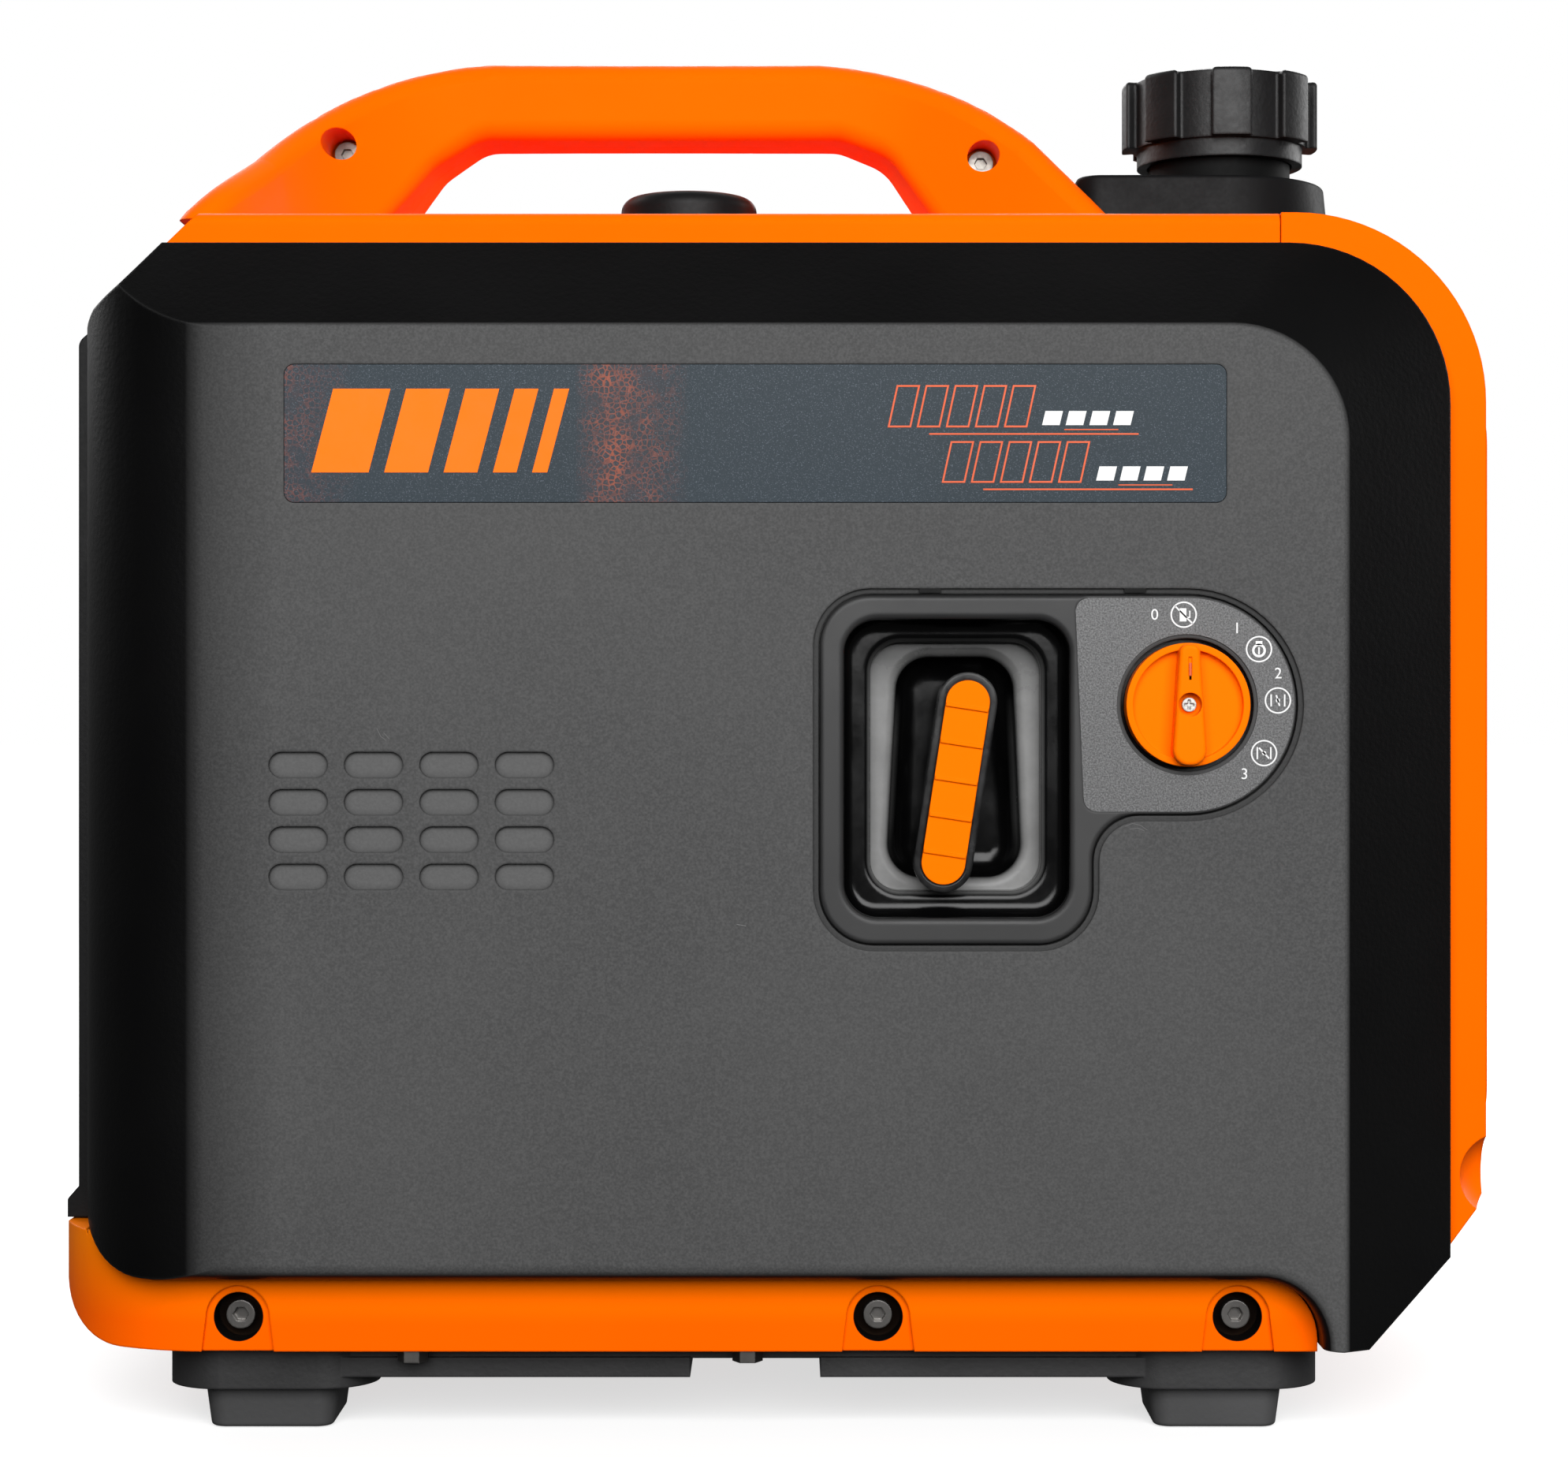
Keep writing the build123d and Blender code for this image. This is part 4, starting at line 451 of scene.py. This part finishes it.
# shared finishes: keyword values for plastic()
ORANGE_SKIN = {
    "rough": 0.44, "grain": 0.10, "grain_scale": 700.0, "specular": 0.07,
    "vary": 0.04, "edge": 0.0009, "wear": 0.15,
}
PRINT = {"grain": 0.05, "grain_scale": 1500.0, "edge": 0.0001}
BUTTON = {"grain": 0.05, "grain_scale": 800.0, "specular": 0.5, "edge": 0.0005}
BLACK = {"vary": 0.2, "edge": 0.0009}
mats = {
    "orange_shell": plastic("orange_moulding", ORANGE, **ORANGE_SKIN),
    "dark_shell": cover_material(),
    "black_shell": plastic("black_moulding", (0.007, 0.007, 0.0073), 0.45, 0.22, 800.0, 0.13, **BLACK),
    "gloss_black": plastic(
        "gloss_black_moulding", (0.003, 0.003, 0.0033), 0.22, 0.03, 500.0, 0.38, 0.2, 0.0012,
        coat=0.1, wear=0.2,
    ),
    "dial_grey": dial_material(),
    "plate_blue": plate_material(),
    "orange_dial": plastic(
        "orange_satin", (1.0, 0.160, 0.0), 0.36, 0.06, 900.0, 0.25, 0.03, 0.0006, wear=0.15
    ),
    "rubber_black": plastic("foot_rubber", (0.052, 0.052, 0.053), 0.62, 0.35, 520.0, 0.35, 0.3, 0.001),
    "zinc_steel": metal("zinc_steel", (0.72, 0.72, 0.70), 0.28),
    "black_steel": screw_material("screw_steel", (0.008, 0.008, 0.008), (0.22, 0.21, 0.19), 0.38),
    "cast_alloy": metal("cast_alloy", (0.60, 0.60, 0.58), 0.45, 0.5),
    "silicon_steel": metal("laminated_steel", (0.36, 0.34, 0.33), 0.45, 0.8, scale=(1.0, 0.06, 1.0)),
    "muffler_steel": metal("muffler_steel", (0.46, 0.42, 0.38), 0.40, 0.4),
    "brass_metal": metal("brass", (0.80, 0.58, 0.25), 0.28),
    "ceramic_white": plastic("plug_boot_rubber", (0.02, 0.02, 0.02), 0.55, 0.3, 600.0),
    "lamp_lens": lamp_material("lamp_green", (0.03, 0.55, 0.08)),
    "button_white": plastic("button_white_plastic", (0.62, 0.62, 0.58), 0.3, vary=0.06, **BUTTON),
    "button_red": plastic("rocker_red_plastic", (0.55, 0.02, 0.01), 0.25, vary=0.08, **BUTTON),
    "rope_black": plastic("rope_braid", (0.02, 0.02, 0.02), 0.8, 0.9, 900.0, 0.2, 0.4, 0.0003),
    "tank_black": plastic("tank_coating", (0.004, 0.004, 0.004), 0.6, 0.1, 400.0, 0.06, 0.3, 0.001),
    "print_orange": plastic("print_orange", (1.0, 0.165, 0.0), 0.45, specular=0.1, vary=0.06, **PRINT),
    "print_white": plastic("print_white", (0.72, 0.72, 0.72), 0.4, specular=0.3, vary=0.05, **PRINT),
    "print_red": plastic("print_dark_orange", (0.60, 0.075, 0.008), 0.4, specular=0.3, vary=0.1, **PRINT),
    "print_black": plastic("print_black", (0.003, 0.003, 0.003), 0.5, specular=0.1, vary=0.05, **PRINT),
    "scuff_grey": plastic("scuff_grey", (0.13, 0.13, 0.13), 0.7, 0.2, 2500.0, 0.2, 0.4, 0.0001),
    "cap_plastic": plastic(
        "cap_plastic", (0.008, 0.008, 0.0083), 0.42, 0.45, 650.0, 0.24, 0.3, 0.0010, wear=0.6
    ),
    "shroud_plastic": plastic(
        "shroud_plastic", (0.0055, 0.0055, 0.0058), 0.5, 0.22, 800.0, 0.08, 0.25, 0.0009, wear=0.5
    ),
    "panel_plastic": plastic("panel_plastic", (0.030, 0.030, 0.031), 0.5, 0.25, 800.0, 0.3, 0.2, 0.0008),
    "skid_plastic": plastic("skid_plastic", (0.020, 0.020, 0.0205), 0.5, 0.3, 650.0, 0.4, 0.3, 0.0009),
    "bolt_steel": metal("bolt_steel", (0.22, 0.21, 0.20), 0.34),
    "zinc_screw": metal("zinc_screw", (0.42, 0.41, 0.39), 0.32),
    "bezel": bezel_material(),
    "base_orange": base_material(),
}
for name in ("orange_shell", "orange_dial", "base_orange"):
    tint = mats[name].node_tree.nodes["Principled BSDF"].inputs["Specular Tint"]
    tint.default_value = (1.0, 0.35, 0.04, 1.0)

# nodes with a finish of their own; every other node takes its record's material slot
finish = {
    "starter_bezel": "bezel",
    "base_pan": "base_orange",
    "base_fasteners": "bolt_steel",
    "dial_screw": "zinc_screw",
    "fuel_cap": "cap_plastic",
    "fuel_cap_plug": "cap_plastic",
    "cap_vent_lever": "cap_plastic",
    "filler_shroud": "shroud_plastic",
    "skids": "skid_plastic",
    "control_panel": "panel_plastic",
}
slots = {entry["node"]: entry["material_slot"] for entry in frame["record"]["subparts"]}
for name, piece in cad.items():
    piece.data.materials.clear()
    piece.data.materials.append(mats[finish.get(name, slots[name])])


# ------------------------------------------------------------------ printed marks
def front(u, v, depth):
    """Seen from the starter side: u is X, v is Z, depth is out of the face."""
    return Vector((u, -depth, v)) * MM


def panel(u, v, depth):
    """Seen from the control panel's end: u runs to the viewer's right."""
    return Vector((-depth, -u, v)) * MM


def prism(bm, loop, near, far, side):
    """Thin closed plate on a face, from its outline."""
    outer = [bm.verts.new(side(u, v, far)) for u, v in loop]
    inner = [bm.verts.new(side(u, v, near)) for u, v in loop]
    bm.faces.new(outer)
    bm.faces.new(inner[::-1])
    for i in range(len(loop)):
        j = (i + 1) % len(loop)
        bm.faces.new((outer[i], inner[i], inner[j], outer[j]))


def band(bm, points, width, near, far, side, closed=False):
    """Thin closed line of one width through the points, mitred at its corners."""
    count = len(points)
    left, right = [], []
    for i, (u, v) in enumerate(points):
        here = Vector((u, v))
        has_before = closed or i > 0
        has_after = closed or i < count - 1
        before = Vector(points[i - 1]) if has_before else None
        after = Vector(points[(i + 1) % count]) if has_after else None
        first = (here - before).normalized() if has_before else (after - here).normalized()
        second = (after - here).normalized() if has_after else first
        middle = (first + second).normalized()
        across = Vector((-middle.y, middle.x))
        reach = width / 2 / max(0.35, across.dot(Vector((-first.y, first.x))))
        left.append(here + across * reach)
        right.append(here - across * reach)
    rows = []
    for line, depth in ((left, far), (right, far), (right, near), (left, near)):
        rows.append([bm.verts.new(side(p.x, p.y, depth)) for p in line])
    steps = range(count) if closed else range(count - 1)
    for i in steps:
        j = (i + 1) % count
        for a in range(4):
            b = (a + 1) % 4
            bm.faces.new((rows[a][i], rows[a][j], rows[b][j], rows[b][i]))
    if not closed:
        bm.faces.new([row[0] for row in rows])
        bm.faces.new([row[-1] for row in rows][::-1])


def rectangle(u0, u1, v0, v1):
    return [(u0, v0), (u1, v0), (u1, v1), (u0, v1)]


def circle(u, v, r, start=0.0, stop=360.0, steps=32):
    """Points round a circle or an arc, in degrees from the u axis."""
    span = math.radians(stop - start)
    last = steps if stop - start >= 360 else steps + 1
    angles = [math.radians(start) + span * i / steps for i in range(last)]
    return [(u + r * math.cos(a), v + r * math.sin(a)) for a in angles]


def slanted(u0, u1, v0, v1, lean):
    """Parallelogram that leans to the right."""
    return [(u0, v0), (u1, v0), (u1 + lean, v1), (u0 + lean, v1)]


def finish_piece(name, bm, material, body=None):
    """Turn a bmesh into a named piece that rides on a body."""
    bmesh.ops.recalc_face_normals(bm, faces=bm.faces)
    mesh = bpy.data.meshes.new(name)
    bm.to_mesh(mesh)
    bm.free()
    piece = bpy.data.objects.new(name, mesh)
    bpy.context.scene.collection.objects.link(piece)
    mesh.materials.append(mats[material])
    if body:
        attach(piece, body)
    return piece


def digit(name, text, size, place, turn, body):
    """One generic number, standing just proud of a face."""
    data = bpy.data.curves.new(name + "_curve", "FONT")
    data.body = text
    data.size = size * MM
    data.extrude = 0.00006
    data.align_x = "CENTER"
    data.align_y = "CENTER"
    source = bpy.data.objects.new(name + "_source", data)
    mesh = bpy.data.meshes.new_from_object(source)
    bpy.data.objects.remove(source)
    mesh.name = name
    mesh.transform(Matrix.Translation(place) @ turn)
    piece = bpy.data.objects.new(name, mesh)
    bpy.context.scene.collection.objects.link(piece)
    mesh.materials.clear()
    mesh.materials.append(mats["print_white"])
    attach(piece, body)


def plate_marks():
    """Generic slanted bars and gauge rows in place of the name plate's lettering."""
    face = -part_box("name_plate")[0][1] / MM
    near, far = face - 0.05, face + 0.12
    bm = bmesh.new()
    left = -140.0
    for wide in (17.0, 13.0, 10.0, 7.0, 4.5):
        prism(bm, slanted(left, left + wide, 288.8, 313.6, 6.5), near, far, front)
        left += wide + 4.6
    finish_piece("plate_bars", bm, "print_orange", "case")
    outlines, dashes, lines = bmesh.new(), bmesh.new(), bmesh.new()
    for start, low, high in ((31.0, 302.4, 314.4), (47.0, 286.0, 297.8)):
        for i in range(5):
            u = start + i * 8.6
            band(outlines, slanted(u, u + 6.4, low, high, 2.6), 0.55, near, far, front, True)
        for i in range(4):
            u = start + 45.4 + i * 7.0
            prism(dashes, slanted(u, u + 5.2, low + 0.4, low + 4.6, 1.0), near, far, front)
        band(lines, [(start + 12, low - 2.2), (start + 74, low - 2.2)], 0.5, near, far, front)
        band(lines, [(start + 52, low - 0.9), (start + 68, low - 0.9)], 0.35, near, far, front)
    finish_piece("plate_gauge_outlines", outlines, "print_red", "case")
    finish_piece("plate_gauge_dashes", dashes, "print_white", "case")
    finish_piece("plate_gauge_lines", lines, "print_red", "case")


def dial_marks():
    """White symbols round the dial: fuel off, run, half choke and choke, each with its number."""
    face = -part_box("dial_plate")[0][1] / MM
    near, far = face - 0.05, face + 0.1
    bm = bmesh.new()
    spots = ((118.4, 246.7), (140.7, 236.5), (146.3, 221.3), (142.2, 205.7))
    for u, v in spots:
        band(bm, circle(u, v, 3.7), 0.45, near, far, front, True)
    u, v = spots[0]
    prism(bm, rectangle(u - 1.2, u + 0.8, v - 2.0, v + 1.9), near, far, front)
    band(bm, [(u + 0.8, v - 0.8), (u + 1.8, v - 0.8), (u + 1.8, v + 1.2)], 0.35, near, far, front)
    band(bm, [(u - 2.6, v + 2.6), (u + 2.6, v - 2.6)], 0.45, near, far, front)
    u, v = spots[1]
    band(bm, circle(u, v - 0.4, 1.7, steps=20), 0.7, near, far, front, True)
    prism(bm, rectangle(u - 1.0, u + 1.0, v + 1.2, v + 2.4), near, far, front)
    band(bm, [(u, v - 1.6), (u, v + 0.6)], 0.5, near, far, front)
    for (u, v), lean in ((spots[2], 0.5), (spots[3], 1.5)):
        for sign in (-1, 1):
            post = u + sign * 2.0
            band(bm, [(post, v - 1.8), (post, v + 1.8)], 0.45, near, far, front)
        band(bm, [(u - lean, v + 1.6), (u + lean, v - 1.6)], 0.5, near, far, front)
        prism(bm, circle(u, v, 0.65, steps=12), near, far, front)
    finish_piece("dial_symbols", bm, "print_white", "case")
    upright = Matrix.Rotation(math.radians(90), 4, "X")
    numbers = (("0", 109.8, 246.6), ("1", 134.2, 242.6), ("2", 146.4, 229.2), ("3", 136.4, 199.4))
    for text, u, v in numbers:
        digit("dial_number_" + text, text, 4.6, front(u, v, far - 0.05), upright, "case")
    ridge = bmesh.new()
    top = -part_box("dial_knob")[0][1] / MM
    band(ridge, [(119.5, 232.3), (119.5, 227.3)], 0.7, top - 0.3, top, front)
    finish_piece("dial_pointer", ridge, "print_red", "dial")


def cover_marks():
    """Clip tabs over the bezel, and a few fine scuffs on the flat face."""
    face = -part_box("side_cover_starter")[0][1] / MM
    tabs = bmesh.new()
    for u in (43.3, 104.0):
        prism(tabs, rectangle(u - 3.2, u + 3.2, 253.2, 254.5), face - 0.4, face - 0.1, front)
    finish_piece("bezel_clips", tabs, "print_black", "case")
    scuffs = bmesh.new()
    paths = (
        [(101.0, 184.0), (103.2, 184.9), (105.6, 184.3), (107.6, 182.9)],
        [(102.4, 183.2), (104.8, 183.5), (106.8, 182.6)],
        [(-120.6, 213.0), (-119.4, 210.6), (-117.8, 209.4)],
        [(-118.6, 211.8), (-116.9, 209.9)],
        [(-14.0, 155.0), (-11.2, 154.5)],
    )
    for path in paths:
        band(scuffs, path, 0.22, face - 0.05, face + 0.03, front)
    finish_piece("cover_scuffs", scuffs, "scuff_grey", "case")


def panel_marks():
    """Frames, ticks and numbers printed on the control panel."""
    face = 217.9
    near, far = face - 0.1, face + 0.12
    bm = bmesh.new()

    def frame_line(u0, u1, v0, v1, r=3.0):
        corners = ((u1 - r, v1 - r), (u0 + r, v1 - r), (u0 + r, v0 + r), (u1 - r, v0 + r))
        points = []
        for quarter, (cu, cv) in enumerate(corners):
            points += circle(cu, cv, r, quarter * 90, quarter * 90 + 90, 6)
        band(bm, points, 0.5, near, far, panel, True)

    frame_line(-65.5, -22, 288, 313)
    frame_line(17, 63, 284, 316)
    frame_line(-58, 72.5, 236.5, 281)
    frame_line(-74.9, 66.5, 165, 231)
    for i, u in enumerate((-58, -44, -30)):
        band(bm, [(u - 3, 291), (u + 3, 291)], 0.7, near, far, panel)
        prism(bm, circle(u, 308.5, 1.0 + 0.4 * i, steps=16), near, far, panel)
    for u in (34, 60):
        band(bm, [(u - 6, 244), (u + 6, 244)], 0.7, near, far, panel)
    finish_piece("panel_frames", bm, "print_white", "case")
    towards_front = Matrix.Rotation(math.radians(-90), 4, "Z") @ Matrix.Rotation(math.radians(90), 4, "X")
    outlet_numbers = (("1", -54, 225), ("2", -14, 225), ("3", 40, 225))
    low_voltage_numbers = (("4", -34, 277), ("5", 4, 277), ("6", 60, 271))
    for text, u, v in outlet_numbers + low_voltage_numbers:
        digit("panel_number_" + text, text, 4.2, panel(u, v, face + 0.05), towards_front, "case")


def rope():
    """Braided starter rope from the pulley to the grip."""
    level = 197
    path = ((21, -98), (40, -98), (50, -98.5), (51, -108), (51, -118), (51, -132))
    points = [Vector((x, y, level)) * MM for x, y in path]
    steps, sides, radius = 14, 12, 2.1 * MM
    line = []
    for here, there in zip(points, points[1:]):
        line += [here.lerp(there, j / steps) for j in range(steps)]
    line.append(points[-1])
    bm = bmesh.new()
    rings = []
    for i, here in enumerate(line):
        ahead = (line[min(i + 1, len(line) - 1)] - line[max(i - 1, 0)]).normalized()
        side = ahead.cross(Vector((0, 0, 1))).normalized()
        up = side.cross(ahead).normalized()
        twist = i * 0.26
        ring = []
        for k in range(sides):
            angle = 2 * math.pi * k / sides + twist
            r = radius * (1.0 + 0.10 * math.cos(3 * (angle - twist) + i * 0.6))
            ring.append(bm.verts.new(here + (side * math.cos(angle) + up * math.sin(angle)) * r))
        rings.append(ring)
    for a, b in zip(rings, rings[1:]):
        for k in range(sides):
            bm.faces.new((a[k], a[(k + 1) % sides], b[(k + 1) % sides], b[k]))
    bm.faces.new(rings[0][::-1])
    bm.faces.new(rings[-1])
    for face in bm.faces:
        face.smooth = True
    return finish_piece("starter_rope_braid", bm, "rope_black")


plate_marks()
dial_marks()
cover_marks()
panel_marks()
cord = rope()
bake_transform(cord)
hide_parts("starter_rope")


# ------------------------------------------------------------------ stage, light and camera
def softbox(name, place, width, height, radiance):
    """Rectangular area light that faces the object, given by the brightness of its face."""
    data = bpy.data.lights.new(name, "AREA")
    data.shape = "RECTANGLE"
    data.size = width
    data.size_y = height
    data.energy = radiance * width * height * math.pi
    light = bpy.data.objects.new(name, data)
    bpy.context.scene.collection.objects.link(light)
    light.location = place
    towards_object = Vector((0, 0, 0.2)) - Vector(place)
    light.rotation_euler = towards_object.to_track_quat("-Z", "Y").to_euler()


def lay_floor():
    """Pale floor that glows, least under the object as a painted shadow, so that only a soft shadow shows.
    """
    half = 40.0
    corners = [(-half, -half, 0), (half, -half, 0), (half, half, 0), (-half, half, 0)]
    mesh = bpy.data.meshes.new("studio_floor")
    mesh.from_pydata(corners, [], [(0, 1, 2, 3)])
    floor = bpy.data.objects.new("studio_floor", mesh)
    floor.location = (0, 0, -0.0003)
    bpy.context.scene.collection.objects.link(floor)
    mat, tree, shader = new_material("studio_floor_paint")
    distance = vector_maths(tree, "LENGTH", coords(tree))
    shader.inputs["Base Color"].default_value = (0.5, 0.5, 0.5, 1)
    shader.inputs["Roughness"].default_value = 0.9
    shader.inputs["Specular IOR Level"].default_value = 0.0
    shader.inputs["Emission Color"].default_value = (1, 1, 1, 1)
    # painted shadow: the glow is dimmest within about 0.26 m of the origin and full beyond 0.62 m
    link(tree, ramp(tree, distance, 0.26, 0.62, 0.66, 1.0), shader.inputs["Emission Strength"])
    mesh.materials.append(mat)
    floor.visible_diffuse = False
    floor.visible_glossy = False


def backdrop():
    """World that is white to the camera and dim to everything else."""
    world = bpy.data.worlds.new("studio_world")
    bpy.context.scene.world = world
    world.use_nodes = True
    tree = world.node_tree
    white = tree.nodes["Background"]
    white.inputs["Color"].default_value = (1, 1, 1, 1)
    ambient = add(tree, "ShaderNodeBackground")
    ambient.inputs["Color"].default_value = (1, 1, 1, 1)
    ambient.inputs["Strength"].default_value = 0.07
    mix = add(tree, "ShaderNodeMixShader")
    link(tree, add(tree, "ShaderNodeLightPath").outputs["Is Camera Ray"], mix.inputs["Fac"])
    link(tree, ambient.outputs["Background"], mix.inputs[1])
    link(tree, white.outputs["Background"], mix.inputs[2])
    link(tree, mix.outputs["Shader"], tree.nodes["World Output"].inputs["Surface"])


def lights():
    """A large soft light over the camera's shoulder, and weaker ones for the other sides."""
    softbox("front_softbox", (0.15, -1.65, 0.85), 1.7, 1.1, 8.2)
    softbox("back_softbox", (0.0, 1.7, 1.25), 1.5, 0.9, 4.6)
    softbox("left_softbox", (-1.25, 1.0, 1.1), 1.0, 1.0, 4.6)
    softbox("right_softbox", (1.5, 0.8, 0.7), 1.0, 1.0, 4.2)
    softbox("top_softbox", (0.0, 1.0, 1.6), 1.4, 0.9, 1.2)


def camera():
    """The main view: straight at the starter side, level with the middle of the case."""
    data = bpy.data.cameras.new("camera")
    data.sensor_width = 36.0
    data.sensor_fit = "HORIZONTAL"
    data.lens = 74.04
    data.clip_start = 0.05
    data.clip_end = 200
    cam = bpy.data.objects.new("camera", data)
    bpy.context.scene.collection.objects.link(cam)
    cam.location = (0.0, -1.1, 0.213)
    cam.rotation_euler = (math.radians(90), 0, 0)
    bpy.context.scene.camera = cam


lay_floor()
backdrop()
lights()
camera()
bpy.context.scene.view_settings.view_transform = "Standard"

bpy.context.view_layer.update()
